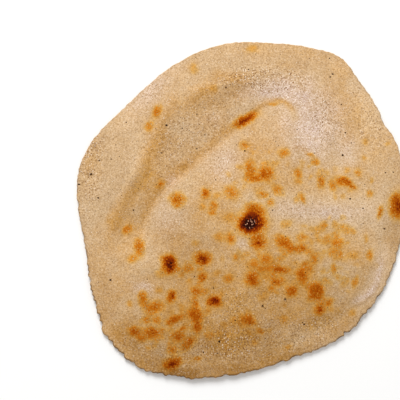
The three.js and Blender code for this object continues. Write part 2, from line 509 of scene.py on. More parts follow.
# Spots on the upper side: x, y, half length, half width and turn.
SPOTS: dict[Browning, tuple[tuple[float, float, float, float, float], ...]] = {
    Browning.CHARRED: ((4.2, -8.3, 4, 3.5, 20),),
    Browning.DARK: (
        (-38.2, -29.7, 2.3, 2.9, 20), (4.4, -7.8, 5.7, 4.8, 15),
    ),
    Browning.DEEP: (
        (-38, -29.6, 2.2, 3, 15), (-15.2, -48.9, 1.4, 1.1, 0),
    ),
    Browning.BROWN: (
        (-38.6, -29.4, 2.8, 3.8, 0), (-37.1, -82.6, 3.2, 2.1, 25), (-36.6, -45.9, 1.1, 1.5, 0),
        (-21.2, -26.5, 2.7, 2.3, 0), (-14.9, -48.8, 2.9, 2.6, 0), (1.8, 47.7, 4.4, 1.2, 28),
        (5.7, -7.1, 6.2, 5.6, 0), (8.5, -18.4, 1.3, 1, 20), (41.8, -54.2, 0.7, 0.5, 25),
        (84.7, 1.9, 2.5, 4.3, 0),
    ),
    Browning.TOASTED: (
        (-57.2, -65.2, 1.5, 1.4, 0), (-48.4, -66.3, 3.9, 2.7, 10), (-39.6, -29.1, 3, 4.1, 0),
        (-37.8, -46.5, 2.4, 2.6, 0), (-37.1, -82.5, 4.2, 3.1, 25), (-36.3, -59, 2.9, 1.1, 25),
        (-34.4, 4.8, 2.6, 2.5, 0), (-24.8, -56.6, 3.2, 4.1, 5), (-23.7, -62.3, 1.8, 3.4, 5),
        (-21.2, -26.4, 3.7, 3.2, 0), (-21, -36.6, 1.8, 2.3, 0), (-19.4, 8.2, 1.8, 2.3, 0),
        (2, 48, 6.4, 2.4, 28), (3.7, -59.2, 3.5, 2.3, -25), (5.2, -37.2, 3.2, 3.3, 0),
        (7.2, -2, 3.7, 2.6, 0), (8.6, -17.4, 4, 3.3, 5), (12.4, 18.7, 3.8, 3, 10),
        (20, -31.9, 4.2, 1.7, -10), (21.9, -17.5, 3.9, 2.5, -20), (26.3, -43.6, 2.9, 2.6, 0),
        (31.7, -35.1, 2.6, 3.7, 12), (39.3, -44.5, 3.9, 4.8, 0), (41.4, -53.4, 3.1, 2.2, 25),
        (41.6, 14.1, 1.1, 2, 10), (53.9, 14.9, 3, 2.1, 10), (56.1, 14.1, 2.5, 1.7, -25),
        (59.1, 12, 1.5, 1, -45), (74.2, -1.9, 1.4, 2.6, -20), (84, 1.9, 4.3, 6.6, 0),
    ),
    Browning.AMBER: (
        (-61.8, -11.7, 1.2, 1.5, 0), (-57.2, -65.2, 2.6, 2.2, 0), (-54.8, -20.4, 2.2, 3.6, 8),
        (-52.6, -47.7, 1.5, 2.4, 8), (-47.1, -52.5, 3.4, 2.6, 15), (-45.3, 52.1, 1.8, 3, -20),
        (-36.3, -59, 3.4, 1.5, 25), (-34.4, 5, 3.5, 3.3, 0), (-34.1, -68.1, 3, 2.7, 30),
        (-31.9, -63.9, 1.5, 0.9, 30), (-28.7, -71.9, 4.6, 2.2, 45), (-24.2, -43.4, 2.7, 2.2, -20),
        (-23.3, -79.7, 1.7, 1, 20), (-6, -15.5, 1.8, 2.5, 0), (4.3, 21, 2.6, 4.5, 5),
        (6.2, 0.3, 4.2, 2.6, 0), (7.2, 16.1, 3.4, 1.6, 10), (18.8, -38.7, 2.4, 1.5, 0),
        (25.8, -20.8, 2.2, 1.8, 0), (31, -20.8, 2.6, 2.2, 0), (32.1, 5.2, 0.8, 1.6, 30),
        (46.8, -49.9, 2.1, 1.3, 30),
    ),
    Browning.LIGHT: (
        (-61.1, -10.8, 1.7, 2.3, -25), (-58, -26.6, 2.6, 2, 10), (-54.6, -20.6, 1.7, 3.2, 8),
        (-53.9, -69, 2.9, 1.7, -25), (-52.8, -47.7, 2, 3.1, 8), (-51.1, -59.3, 1.6, 1.4, 0),
        (-49.9, 44.4, 1.6, 2.6, -20), (-46.9, -52.3, 4.2, 2.9, 15), (-45.7, -59, 2.1, 1.5, 0),
        (-43.5, 13.4, 1.2, 1.2, 0), (-37.3, -75.2, 2.3, 1.9, 0), (-28.5, -31.5, 2.2, 2.5, 0),
        (-24.8, -50.1, 1.7, 2.6, 0), (-15.6, -2.2, 1.8, 1.3, 0), (-15.3, 1.7, 1.9, 2.2, 0),
        (-7, -36.7, 2.2, 2, 0), (-5.5, 8.6, 3.3, 2.8, 0), (1.5, 33.8, 1.4, 1.3, 0),
        (5.6, -29.3, 2.4, 2, 0), (9.6, -65.1, 2.2, 1.2, -20), (11, 7.6, 2.2, 1.3, -5),
        (11.3, -32, 3.4, 1.6, -10), (12, -26.8, 2.3, 2.5, 0), (14.8, 3, 1.8, 1.5, 0),
        (15.2, -42.4, 1.8, 1.4, 0), (17, 56.7, 2.2, 0.8, 0), (18.8, -38.7, 2.8, 1.8, 0),
        (19.1, 10.1, 2.4, 2, 30), (22.1, 29.9, 2.5, 2.2, 0), (29.8, 18.7, 1.7, 2.4, 5),
        (31.6, -15.1, 2.4, 2.1, 0), (33.2, -28.8, 2, 1.1, 20), (36.3, 28.8, 1.7, 0.8, -20),
        (37.9, -26.6, 1.3, 2.3, 0), (38.8, 25, 1.9, 1.7, 0), (41.8, 13.9, 1.6, 2.2, 10),
        (42.8, -9, 1.8, 2, 0), (48.2, 12.6, 1.7, 2.9, 0), (48.7, -31.9, 1.4, 2.4, 0),
        (50.7, -17.9, 2.8, 1.9, 0), (52.5, -24.2, 1.2, 2.1, 15), (60.4, -38.8, 1.1, 2.8, -15),
        (62.2, 19.3, 1.6, 1.9, 0), (68.6, -24.8, 1.4, 2.5, 5), (69.1, 8.1, 1.5, 1.3, 0),
    ),
    Browning.FAINT: (
        (-49.3, -55.6, 2.4, 1.8, 0), (-44.2, -42.9, 1.9, 1.8, 0), (-43.8, -34.8, 2.1, 1.9, 10),
        (-43.3, 13.5, 2.4, 2.1, 30), (-28.6, -69.4, 1.5, 1.5, 0), (-28, -38, 1.6, 1.3, 0),
        (-25.8, 76.2, 2, 2.4, 10), (-25, -18.2, 1.8, 1.6, 0), (-21.2, 1.2, 1.3, 1.5, 0),
        (-18.4, -54, 1.6, 2.2, 0), (-15.1, 65.2, 1.8, 1.6, 0), (-13.7, 6.6, 1.6, 1.6, 0),
        (-13.6, -34, 1.8, 1.3, 0), (-11.5, -15.1, 3, 1.8, 0), (-6.2, -4.8, 2.8, 2, 0),
        (1.5, 33.8, 2.2, 2, 0), (5.7, 86.6, 2.6, 1.8, 0), (10.6, -46.3, 2.9, 2, 10),
        (12.6, -36.2, 1.3, 1.1, 0), (21, 7.8, 1.6, 1.4, 0), (23.7, -8.2, 2.4, 2, 20),
        (28.6, 5, 1.4, 1.3, 0), (30, 14.5, 1.8, 1.5, 0), (31.4, 7.2, 1.7, 1.8, 0),
        (38.3, -10.8, 3.2, 1.3, 0), (40.7, -16.5, 1.8, 1, 0), (45.2, -15.3, 1.7, 1.3, 20),
        (55.3, -11.3, 2.8, 1.6, 0), (56.1, 20.9, 1.6, 1.2, 0), (59, -24.6, 2.6, 1.6, 0),
        (59.1, -55.5, 1.4, 1.4, 0), (65.9, 27.4, 1.3, 1, -30), (66.2, -15.7, 1, 2.2, 0),
        (66.6, 36.4, 1.4, 1.4, 0), (69.4, 15.3, 1, 1.3, 0), (79, 35.4, 1.4, 1, 0),
    ),
}


@dataclass(frozen=True)
class Freckles:
    """A patch of small pale brown freckles, scattered by a seeded draw."""

    patch: Mound
    count: int
    seed: int
    sizes: tuple[float, float] = (0.7, 1.7)
    spread: float = 0.62
    strengths: tuple[float, float] = (0.5, 1.2)

    def spots(self) -> list[Mound]:
        """Scatters the freckles round the patch's middle, by a normal draw along each of its axes.

        Returns:
            One small mound for each freckle; its height is how brown it is.
        """
        draw = np.random.default_rng(self.seed)
        cos, sin = math.cos(math.radians(self.patch.turn)), math.sin(math.radians(self.patch.turn))
        found = []
        for _ in range(self.count):
            a, b = draw.normal(0.0, self.spread, 2) * (self.patch.along, self.patch.across)
            along, across = draw.uniform(*self.sizes, 2)
            x, y = self.patch.x + a * cos - b * sin, self.patch.y + a * sin + b * cos
            turn, strength = draw.uniform(0, 180), draw.uniform(*self.strengths)
            found.append(Mound(x, y, along, across, turn, self.patch.height * strength))
        return found


FRECKLES: tuple[Freckles, ...] = (
    Freckles(Mound(24, -29, 22, 12, -12, 0.25), 44, 3),
    Freckles(Mound(-40, -62, 17, 12, 10, 0.22), 30, 5),
    Freckles(Mound(50, -17, 14, 9, -10, 0.22), 30, 7),
    Freckles(Mound(12, 12, 20, 9, -30, 0.17), 26, 9),
    Freckles(Mound(0, -63, 20, 8, 10, 0.20), 22, 13),
    Freckles(Mound(-24, -42, 10, 16, 0, 0.22), 20, 15),
    Freckles(Mound(42, 18, 20, 6, -25, 0.17), 20, 17),
    Freckles(Mound(50, -38, 14, 9, 10, 0.12), 18, 19),
)

# Broad golden patches round the spots, where the skin has only begun to brown.
GOLDEN: tuple[Mound, ...] = mounds(
    (4, 40.5, 5, 6, 0, 0.04), (11, 34, 7, 5, 0, 0.03), (26, -27, 27, 12, -14, 0.05),
    (53, -17, 12, 9, 0, 0.04), (34, -44, 12, 11, 0, 0.059), (7, -37, 9, 9, 0, 0.059),
    (-38, -60, 20, 15, 0, 0.047), (-38, -33, 14, 9, 10, 0.042), (-22, -45, 7, 22, 0, 0.042),
    (8, 20, 12, 12, 0, 0.036), (30, 14, 30, 7, -6, 0.026), (7, -6, 11, 11, 0, 0.04),
    (-12, 4, 14, 10, 0, 0.055), (0, -62, 18, 7, -8, 0.022),
)


@dataclass
class Toasting:
    """How brown each place of the skin is, from 0 for pale to 1 for charred."""

    spots: list[Mound]
    grain: Grain
    golden: tuple[Mound, ...] = ()
    warp: float = 0.62
    softness: float = 0.66
    widest: float = 3.2
    halo: float = 0.24
    halo_width: tuple[float, float] = (0.9, 0.36)
    halo_widest: float = 6.4
    farthest: float = 24.0
    shift_x: Mottle = Mottle(2.8)
    shift_y: Mottle = Mottle(2.8, 0.0, 40.0)
    speckle: Mottle = Mottle(4.2, -60.0, 20.0)
    speckle_swing: float = 0.9
    least_blister: float = 1.8
    blister_rise: float = 0.09
    blister_cap: float = 0.8
    blister_spread: float = 1.25

    def near(self, spot: Mound, x: Array, y: Array) -> Array:
        """Returns which places are close enough to the spot to be worked out."""
        return (np.abs(x - spot.x) < self.farthest) & (np.abs(y - spot.y) < self.farthest)

    def at(self, x: Array, y: Array) -> Array:
        """Takes the brownest spot at each place, over the joined halos and the golden patches.

        A spot is full inside its reach and ragged at its edge. Halos join as 1 - product of (1 - each).
        Places are first shifted by layers of grain, so that no spot stays round.

        Args:
            x: places along X.
            y: places along Y.

        Returns:
            The browning at each place.
        """
        shifted_x = x + self.warp * self.shift_x.at(self.grain, x, y)
        shifted_y = y + self.warp * self.shift_y.at(self.grain, x, y)
        core, left = np.zeros_like(x), np.ones_like(x)
        least_halo, halo_growth = self.halo_width
        for spot in self.spots:
            near = self.near(spot, x, y)
            reach = spot.reach(shifted_x[near], shifted_y[near])
            beyond, edge = (reach - 1.0) * spot.size, self.softness * min(spot.size, self.widest)
            core[near] = np.maximum(core[near], spot.height * (1.0 - ease(beyond, -edge, edge)))
            halo_width = least_halo + halo_growth * min(spot.size, self.halo_widest)
            glow = self.halo * min(spot.height, 1.0) * bell(np.maximum(beyond, 0.0), halo_width)
            left[near] *= 1.0 - glow
        speckle = np.clip(0.5 + self.speckle_swing * self.speckle.at(self.grain, x, y), 0.0, 1.0)
        for patch in self.golden:
            left *= 1.0 - patch.plateau(shifted_x, shifted_y) * speckle
        return 1.0 - (1.0 - core) * left

    def blister(self, x: Array, y: Array) -> Array:
        """Raises the skin under the larger spots, each by a bell of its own height.

        Args:
            x: places along X.
            y: places along Y.

        Returns:
            The highest rise at each place, in millimetres.
        """
        rise = np.zeros_like(x)
        for spot in self.spots:
            if spot.size < self.least_blister:
                continue
            near = self.near(spot, x, y)
            height = self.blister_rise * spot.size * min(spot.height, self.blister_cap)
            reach = spot.reach(x[near], y[near])
            rise[near] = np.maximum(rise[near], height * bell(reach, self.blister_spread))
        return rise


def upper_spots() -> list[Mound]:
    """Returns the placed spots and the freckles of the upper side."""
    placed = [Mound(*spot, browning.value) for browning, spots in SPOTS.items() for spot in spots]
    return placed + [spot for patch in FRECKLES for spot in patch.spots()]


@dataclass(frozen=True)
class LowerSpots:
    """The underside's spots, larger and more even than on top, scattered by a seeded draw."""

    count: int = 90
    seed: int = 21
    reach: float = 82.0
    shape: float = 3.0
    scale: float = 0.9
    least: float = 1.0
    levels: tuple[Browning, ...] = (Browning.FAINT, Browning.LIGHT, Browning.TOASTED, Browning.BROWN)

    def spots(self) -> list[Mound]:
        """Scatters the spots evenly over a disc, with half sizes of the least and a gamma draw.

        Returns:
            One mound for each spot; its height is how brown it is.
        """
        draw = np.random.default_rng(self.seed)
        radius = self.reach * np.sqrt(draw.random(self.count))
        angle = draw.uniform(0, 2 * math.pi, self.count)
        sizes = draw.gamma(self.shape, self.scale, (self.count, 2)) + self.least
        brown = draw.choice([level.value for level in self.levels], self.count)
        x, y = radius * np.cos(angle), radius * np.sin(angle)
        rows = np.column_stack([x, y, sizes, np.degrees(angle), brown])
        return [Mound(*row) for row in rows.tolist()]


# ---- Meshes -----------------------------------------------------------------------------------


@dataclass
class MeshParts:
    """Points, quads and triangles of one mesh, with named values for each point."""

    points: Array
    quads: Array
    triangles: Array
    values: dict[str, Array] = field(default_factory=dict)

    def make(self, name: str, smooth: bool = True) -> bpy.types.Object:
        """Puts the arrays into a mesh object in the scene.

        Args:
            name: the object's name.
            smooth: whether its faces are shaded smooth.

        Returns:
            The new object, at the origin.
        """
        mesh = bpy.data.meshes.new(name)
        corners = np.concatenate([self.quads.ravel(), self.triangles.ravel()])
        sizes = np.concatenate([np.full(len(self.quads), 4), np.full(len(self.triangles), 3)])
        mesh.vertices.add(len(self.points))
        mesh.vertices.foreach_set("co", self.points.astype(np.float32).ravel())
        mesh.loops.add(len(corners))
        mesh.loops.foreach_set("vertex_index", corners.astype(np.int32))
        mesh.polygons.add(len(sizes))
        starts = np.concatenate([[0], np.cumsum(sizes)[:-1]])
        mesh.polygons.foreach_set("loop_start", starts.astype(np.int32))
        mesh.polygons.foreach_set("use_smooth", np.full(len(sizes), smooth))
        mesh.update(calc_edges=True)
        mesh.validate()
        for key, value in self.values.items():
            layer = mesh.attributes.new(key, "FLOAT", "POINT")
            layer.data.foreach_set("value", value.astype(np.float32))
        made = bpy.data.objects.new(name, mesh)
        bpy.context.scene.collection.objects.link(made)
        return made


@dataclass(frozen=True)
class DiscGrid:
    """A square grid laid on a disc: each square ring of the grid becomes one circle."""

    side: int

    def shares(self) -> tuple[Array, Array]:
        """Works out each point's share of the radius and its bearing.

        On the square from -1 to 1 the share is max(|a|, |b|), and the angle is 45 degrees times the
        smaller coordinate over the larger one, counted from the nearest axis.

        Returns:
            Shares of the radius and bearings in degrees, row by row.
        """
        line = np.linspace(-1.0, 1.0, self.side + 1)
        a, b = np.meshgrid(line, line, indexing="ij")
        share = np.maximum(np.abs(a), np.abs(b))
        safe_a, safe_b = np.where(a == 0, 1.0, a), np.where(b == 0, 1.0, b)
        sideways = np.abs(a) >= np.abs(b)
        bearing = np.where(sideways, 45.0 * b / safe_a, 90.0 - 45.0 * a / safe_b)
        bearing += np.where(np.where(sideways, a, b) < 0, 180.0, 0.0)
        return share.ravel(), bearing.ravel()

    def quads(self) -> Array:
        """Joins each grid cell's four corners.

        Returns:
            The quads, counter-clockwise seen from above.
        """
        index = np.arange((self.side + 1) ** 2).reshape(self.side + 1, self.side + 1)
        corners = (index[:-1, :-1], index[1:, :-1], index[1:, 1:], index[:-1, 1:])
        return np.stack([corner.ravel() for corner in corners], axis=1)

    def border(self) -> Array:
        """Returns the outer ring's point numbers, counter-clockwise seen from above."""
        index = np.arange((self.side + 1) ** 2).reshape(self.side + 1, self.side + 1)
        return np.concatenate([index[:-1, 0], index[-1, :-1], index[:0:-1, -1], index[0, :0:-1]])


def belt(above: Array, below: Array) -> Array:
    """Returns the quads between two rings of as many points, facing outward."""
    return np.stack([above, below, np.roll(below, -1), np.roll(above, -1)], axis=1)


def stitch(ring: Array, inner: Array) -> Array:
    """Stitches a ring to one inside it of half its points, with triangles that face down.

    Args:
        ring: the outer ring's point numbers.
        inner: the inner ring's point numbers.

    Returns:
        The triangles.
    """
    outer, middle, after = ring[0::2], ring[1::2], np.roll(ring[0::2], -1)
    following = np.roll(inner, -1)
    fans = ((outer, inner, middle), (middle, inner, following), (middle, following, after))
    return np.vstack([np.stack(fan, axis=1) for fan in fans])


@dataclass
class Bread:
    """The bread's skin as one closed mesh: upper side, rounded edge and underside."""

    form: BreadForm = field(default_factory=BreadForm)
    top_side: int = 256
    edge_rows: int = 6
    underside_inset: float = 3.4
    underside_flour: float = 0.12
    underside_warp: float = 1.6
    dimple_height: float = 0.12
    dimples: Mottle = Mottle(6.0, -80.0, 60.0)

    def __post_init__(self) -> None:
        """Lays out the toasting of both sides."""
        self.toasting = Toasting(upper_spots(), self.form.grain, GOLDEN)
        below = LowerSpots().spots()
        self.under_toasting = Toasting(below, self.form.grain, warp=self.underside_warp)

    def height(self, x: Array, y: Array) -> Array:
        """Returns the upper skin's height with its blisters."""
        return self.form.top(x, y) + self.toasting.blister(x, y)

    def upper_points(self) -> Array:
        """Lays the grid on the upper side, out to the start of the rounded edge.

        Returns:
            The points.
        """
        share, bearing = DiscGrid(self.top_side).shares()
        angle = np.radians(bearing)
        radius = share * (self.form.ragged_radius(bearing) - self.form.edge_rounding)
        x, y = radius * np.cos(angle), radius * np.sin(angle)
        return np.stack([x, y, self.height(x, y)], axis=1)

    def edge_points(self, bearing: Array, start: Array, row: int) -> Array:
        """Works out one row of the rounded edge, a half ellipse from the top face to the underside.

        Args:
            bearing: bearings of the row's points.
            start: heights at which the upper side ends.
            row: 1 for the row after the upper side, and edge_rows for the lowest one.

        Returns:
            The row's points.
        """
        roll = math.pi * (0.5 - row / self.edge_rows)
        angle = np.radians(bearing)
        radius = self.form.ragged_radius(bearing) - self.form.edge_rounding * (1.0 - math.cos(roll))
        low = self.form.curl(bearing, radius)
        z = low + (start - low) * 0.5 * (1.0 + math.sin(roll))
        return np.stack([radius * np.cos(angle), radius * np.sin(angle), z], axis=1)

    def lower_points(self) -> Array:
        """Lays the grid on the underside inside the edge: flat, but for shallow dimples.

        Returns:
            The points.
        """
        share, bearing = DiscGrid(self.top_side // 2).shares()
        angle = np.radians(bearing)
        radius = share * (self.form.ragged_radius(bearing) - self.underside_inset)
        x, y = radius * np.cos(angle), radius * np.sin(angle)
        dimples = self.dimple_height * np.maximum(self.dimples.at(self.form.grain, x, y), 0.0)
        return np.stack([x, y, self.form.curl(bearing, radius) + dimples], axis=1)

    def build(self) -> MeshParts:
        """Joins the three stretches and works out each point's colour values.

        Returns:
            The mesh in metres, centred on the middle of the outline's box.
        """
        upper_grid, lower_grid = DiscGrid(self.top_side), DiscGrid(self.top_side // 2)
        upper = self.upper_points()
        border = upper_grid.border()
        bearing = upper_grid.shares()[1][border]
        rows = [self.edge_points(bearing, upper[border, 2], row + 1) for row in range(self.edge_rows)]
        points = np.vstack([upper, *rows, self.lower_points()])
        count = len(border)
        starts = len(upper) + count * np.arange(self.edge_rows)
        rings = [border, *(start + np.arange(count) for start in starts)]
        belts = [belt(above, below) for above, below in zip(rings[:-1], rings[1:])]
        lower_start = len(upper) + count * self.edge_rows
        triangles = stitch(rings[-1], lower_start + lower_grid.border())
        quads = np.vstack([upper_grid.quads(), *belts, lower_start + lower_grid.quads()[:, ::-1]])
        values = self.values(points, len(upper), lower_start)
        points[:, :2] -= self.form.middle
        return MeshParts(points * MM, quads, triangles, values)

    def values(self, points: Array, upper_count: int, lower_start: int) -> dict[str, Array]:
        """Works out how toasted, floury and tanned each point is, with its tone and painted shade, its pits,
        and the edge's crust and painted shadow.

        Args:
            points: the mesh's points, in the bread's layout.
            upper_count: how many of them are on the upper side.
            lower_start: where the underside's points start.

        Returns:
            One array for each named value.
        """
        x, y, z = points.T
        under = np.arange(len(points)) >= lower_start
        toast = np.where(under, self.under_toasting.at(x, y), self.toasting.at(x, y))
        skin = SkinTints(self.form)
        LOG.info("toast up to %.2f on %d upper points", toast[:upper_count].max(), upper_count)
        return {
            "toast": toast,
            "flour": np.where(under, self.underside_flour, skin.flour(x, y)),
            "tan": skin.tan(x, y),
            "crust_and_shadow": skin.crust_and_shadow(x, y, z),
            "tone_and_shade": skin.tone_and_shade(x, y),
            "pitted": skin.pitted(x, y),
        }


@dataclass(frozen=True)
class Streak:
    """A tanned band along a curve, fading out at both ends."""

    curve: Curve
    width: float
    strength: float
    fade: float = 0.15

    def at(self, x: Array, y: Array) -> Array:
        """Works out strength * bell(distance, width), faded at both ends.

        Args:
            x: places along X.
            y: places along Y.

        Returns:
            The streak's strength at each place.
        """
        offset, share = self.curve.place(x, y)
        band = self.strength * bell(offset, self.width) * ease(share, 0.0, self.fade)
        return band * (1.0 - ease(share, 1.0 - self.fade, 1.0))


def streak(width: float, strength: float, *points: tuple[float, float]) -> Streak:
    """Returns a streak along the curve through the points."""
    return Streak(Curve(points), width, strength)


@dataclass
class SkinTints:
    """Where flour and its painted sheen lie on the skin, where the skin itself is tanned, where its tone,
    painted shade and painted light change it, and the darkened crust of the edge with its painted shadow.
    """

    form: BreadForm
    streaks: tuple[Streak, ...] = (
        streak(4.6, 0.66,
            (-12, 68), (-24, 62), (-36, 54), (-44, 42), (-49, 28), (-53.5, 15), (-60.5, 5), (-65.5, -3),
            (-68, -11)),
        streak(3.4, 0.62,
            (-58, -16), (-52, -4), (-48, 4), (-42, 12), (-33, 20.6), (-21, 30), (-11, 39), (2, 48)),
        streak(1.7, 0.75, (-1, 45.5), (7, 52.5), (12, 56.5), (18, 58.4), (24, 56.8), (27.6, 53), (29, 50)),
        streak(1.8, 0.45, (26, 34), (32, 32), (37, 29), (41, 25)),
        # Painted shade: a band just inside the lower right rim.
        streak(2, 0.25, (30, -68), (43, -60), (53, -52), (64, -40), (70, -24)),
    )
    # The first streak is a painted highlight on the lit wall of the lower right groove; the second, below 0,
    # clears flour along the hook.
    flour_and_highlight_streaks: tuple[Streak, ...] = (
        streak(1.7, 0.6, (57, -51), (62, -49), (66, -47), (69.5, -44), (72.4, -39), (74, -33), (75, -26)),
        streak(2.2, -0.55, (16, 57.6), (20, 58.4), (24, 56.8), (27.6, 52), (29, 45)),
    )
    # The first streak is painted shade along the lower right groove; the next three are dark cracks at the
    # left edge.
    tone_and_shade_streaks: tuple[Streak, ...] = (
        streak(0.8, 0.22, (57, -53.4), (63, -51.4), (67, -49), (71, -45), (74, -40)),
        streak(0.5, 0.5, (-84, 19), (-81, 18.6), (-79, 18.8)),
        streak(0.5, 0.4, (-79.4, 26), (-76.6, 26.1), (-74.5, 26.6)),
        streak(0.6, 0.35, (-80, 32), (-79, 34.5), (-78, 37)),
        streak(0.6, 0.5, (22, -47.6), (24, -49.4)),
    )
    # Flour patches; the ones over the dome's upper right, round (36, 43), paint its sheen as well as flour.
    flour_and_sheen_patches: tuple[Mound, ...] = mounds(
        (36, 43, 13, 15, 10, 0.92), (15, 61.8, 8, 3, 0, 0.4), (49, 52, 6, 6, 0, 0.25),
        (30, 62, 12, 7, 0, 0.75), (14, 65, 14, 5, 8, 0.55), (-9.5, 23, 7, 10, -20, 0.5),
        (41, -1.5, 25, 4.5, -2, 0.58), (57, 32, 5, 9, 0, 0.45), (-50, 64, 14, 7, 48, 0.45),
        (-39, -3, 7, 9, 0, 0.3), (-38, 14.5, 5, 3.5, 30, 0.4), (73, -34, 4, 12, -20, 0.2),
        (-52, -42, 6, 3, 0, 0.5), (1, -19.5, 4, 3, -40, 0.55), (-15, 48, 4, 5, 0, 0.15),
    )
    tan_patches: tuple[Mound, ...] = mounds(
        (-2, -56, 52, 32, 4, 0.54), (34, -28, 34, 19, -4, 0.5), (-38, -62, 22, 18, 0, 0.14),
        (-14, 0, 14, 20, 10, 0.38), (12, 20, 16, 14, 0, 0.36), (12, 37, 12, 14, 0, 0.28),
        (45, 14, 26, 9, -6, 0.3), (64, 42, 14, 28, 25, 0.34), (50, 66, 9, 14, 0, 0.22),
        (-68, -42, 12, 24, 0, 0.28), (-64, -14, 10, 10, 0, 0.3), (-8, 67, 16, 7, -10, 0.42),
        (-38, 27, 12, 14, -40, 0.32), (-80, 20, 6, 18, 0, 0.25), (8, -86, 66, 9, 2, 0.3),
        (-22, 71, 8, 5, 0, -0.2), (-44, 56, 24, 6, 50, 0.1), (-30, 59, 5, 4, 0, -0.12),
        (-18, -22, 34, 24, 0, 0.12), (-31, -20, 7, 7, 0, 0.27), (-74, -13, 6, 10, 0, 0.28),
        (-10, -42, 18, 10, 0, 0.14), (60, -20, 12, 12, 0, 0.24), (72, 52, 7, 12, 20, -0.38),
        (72, 9, 6, 6, 0, 0.08), (75, -15, 5, 6, 0, 0.07), (-4, -70, 15, 8, 0, 0.47),
        (-3, -50, 8, 6, 0, 0.1), (-60, -38, 7, 7, 0, 0.09), (-18, 51, 13, 11, 0, 0.36),
        (-54, 17, 5, 10, -30, 0.12), (-45, 37, 6, 8, 0, 0.1), (60, 50, 7, 8, 0, 0.1),
        (-67, -5, 6, 8, 0, 0.26), (-72, -46, 8, 12, 0, 0.2), (-56, -76, 22, 7, -36, 0.34),
        (52, -60, 12, 7, 40, 0.36), (36, -58.5, 7, 3.6, 20, 0.34), (5, -79, 10, 5, 0, -0.12),
        (-10, -26, 6, 4, 0, -0.16), (2, -26, 6, 3, 0, -0.22), (21, -26, 4, 3.4, 0, -0.45),
        (17, 26.5, 5, 3.5, 0, -0.3), (-17, -68, 5, 4, 0, -0.25), (-33, -54, 4, 3.4, 0, -0.3),
        (22, -55, 12, 6, 0, 0.22), (9, 33, 7, 5, 0, 0.12), (56, -30, 7, 5, 0, -0.28),
        (24, 82, 40, 8, -8, 0.14), (48, -35, 9, 6, 0, -0.8), (43, -25, 4, 7, 0, -0.35),
        (0, -20, 5, 5, 0, -0.4), (6, 71, 17, 4, -4, 0.24), (-11, 60, 13, 6, 0, 0.24),
        (62, 68, 6, 5, 0, -0.3), (-50, 4, 4, 9, -30, 0.26), (-50, 13, 4, 5, 0, 0.14),
        (-48, 15, 5, 7, -30, 0.28), (-58, -9, 5, 8, 20, 0.24), (0, 31, 6, 7, 0, 0.22),
        (-40, -17, 8, 8, 0, 0.22), (-29, -9, 9, 7, 0, 0.18), (-10, -18, 7, 5, 0, 0.08),
        (80, -14, 5, 9, 0, 0.24), (-78, -28, 5, 9, 0, 0.22), (-50, -40, 6, 5, 0, 0.26),
        (62, -24, 5, 7, 0, 0.14), (-61, -66, 8, 9, 0, 0.32), (-75, 6, 6, 7, 0, -0.16),
        (40, -61, 7, 4, 20, 0.2), (20, -71, 7, 5, 0, 0.18), (-6, -58, 14, 14, 0, 0.15),
        (-60, 6, 5, 6, 0, 0.22), (-68, -6, 4, 5, 0, 0.35), (-29, -80, 5, 3, 0, 0.35),
        (-31, -88, 7, 3, 0, 0.4), (60, 30, 5, 6, 0, -0.22),
    )
    # Patches of darker skin, or paler below 0: some are the dough's own tone, others painted shade where the
    # skin turns from the light, as along the lower edge, at the foot of the lower right rim, at the trough's
    # upper lip and on the puff's wall, and painted light on the right side and the upper right rim.
    tone_and_shade_patches: tuple[Mound, ...] = mounds(
        (30, -67, 16, 8, 20, -0.2), (34, -60.6, 9, 3.4, 20, 0.24), (37, -71, 8, 4, 20, 0.07),
        (-60, 6, 6, 6, 0, -0.05), (61, -50, 6, 6, 0, -0.05), (60, -4, 8, 6, 0, -0.06),
        (35, 54, 9, 12, 0, 0.05), (81, -13, 4, 9, 0, 0.14), (-76, -8, 8, 16, 0, -0.04),
        (13, 40, 8, 10, 0, 0.05), (72, 26, 6, 7, 0, -0.06), (-30, 59, 5, 4, 0, -0.06),
        (-58, 17, 4, 6, -20, -0.07), (-60, -6, 5, 9, 20, -0.03), (-46, 8, 5, 10, -35, 0.05),
        (-27, 22, 7, 5, 40, 0.1), (-32, 9, 7, 6, 0, 0.06), (0, 31, 6, 7, 0, 0.07),
        (40, -59.6, 9, 2.4, 18, 0.08), (-61, -61, 6, 6, 0, 0.08), (-62, -72, 6, 5, 0, 0.05),
        (-10, 86, 8, 4, 10, -0.09), (17, 87, 12, 4, 0, -0.08), (-74, 31, 6, 8, 0, 0.05),
        (-10, -72, 50, 18, 0, 0.11), (0, -72, 30, 12, 0, 0.06), (22, -56, 14, 6, 0, 0.05),
        (-8, 34, 14, 7, 45, 0.08), (-72, -48, 8, 14, 0, 0.05), (-28, -14, 16, 14, 0, 0.1),
        (-26, -40, 20, 10, 0, 0.06), (8, 68, 20, 6, -4, 0.06), (-40, -86, 20, 4, -14, 0.1),
        (-12, -88, 26, 4, 0, 0.14), (-32, -88, 7, 3, 0, 0.14), (53, 79, 6, 5, -30, -0.12),
        (62, 4, 20, 30, 0, -0.13), (73, -30, 7, 16, -15, -0.1), (60, -43, 5, 5, 0, -0.08),
        (72, 48, 10, 22, 25, -0.1), (-26, 48, 36, 14, 45, 0.04), (-54, -74, 26, 8, -40, 0.09),
        (-50, 6, 6, 14, -30, 0.05), (-68, 16, 14, 34, 0, 0.03), (-42, 60, 30, 6, 48, 0.05),
        (-20, 71, 9, 6, 0, 0.08), (-22, -22, 34, 18, 0, 0.05), (20, 82, 50, 9, 0, 0.1),
        (38, 85, 12, 5, -20, -0.09), (-52, 26, 8, 8, 0, -0.08), (20, -14, 50, 14, -8, -0.06),
    )
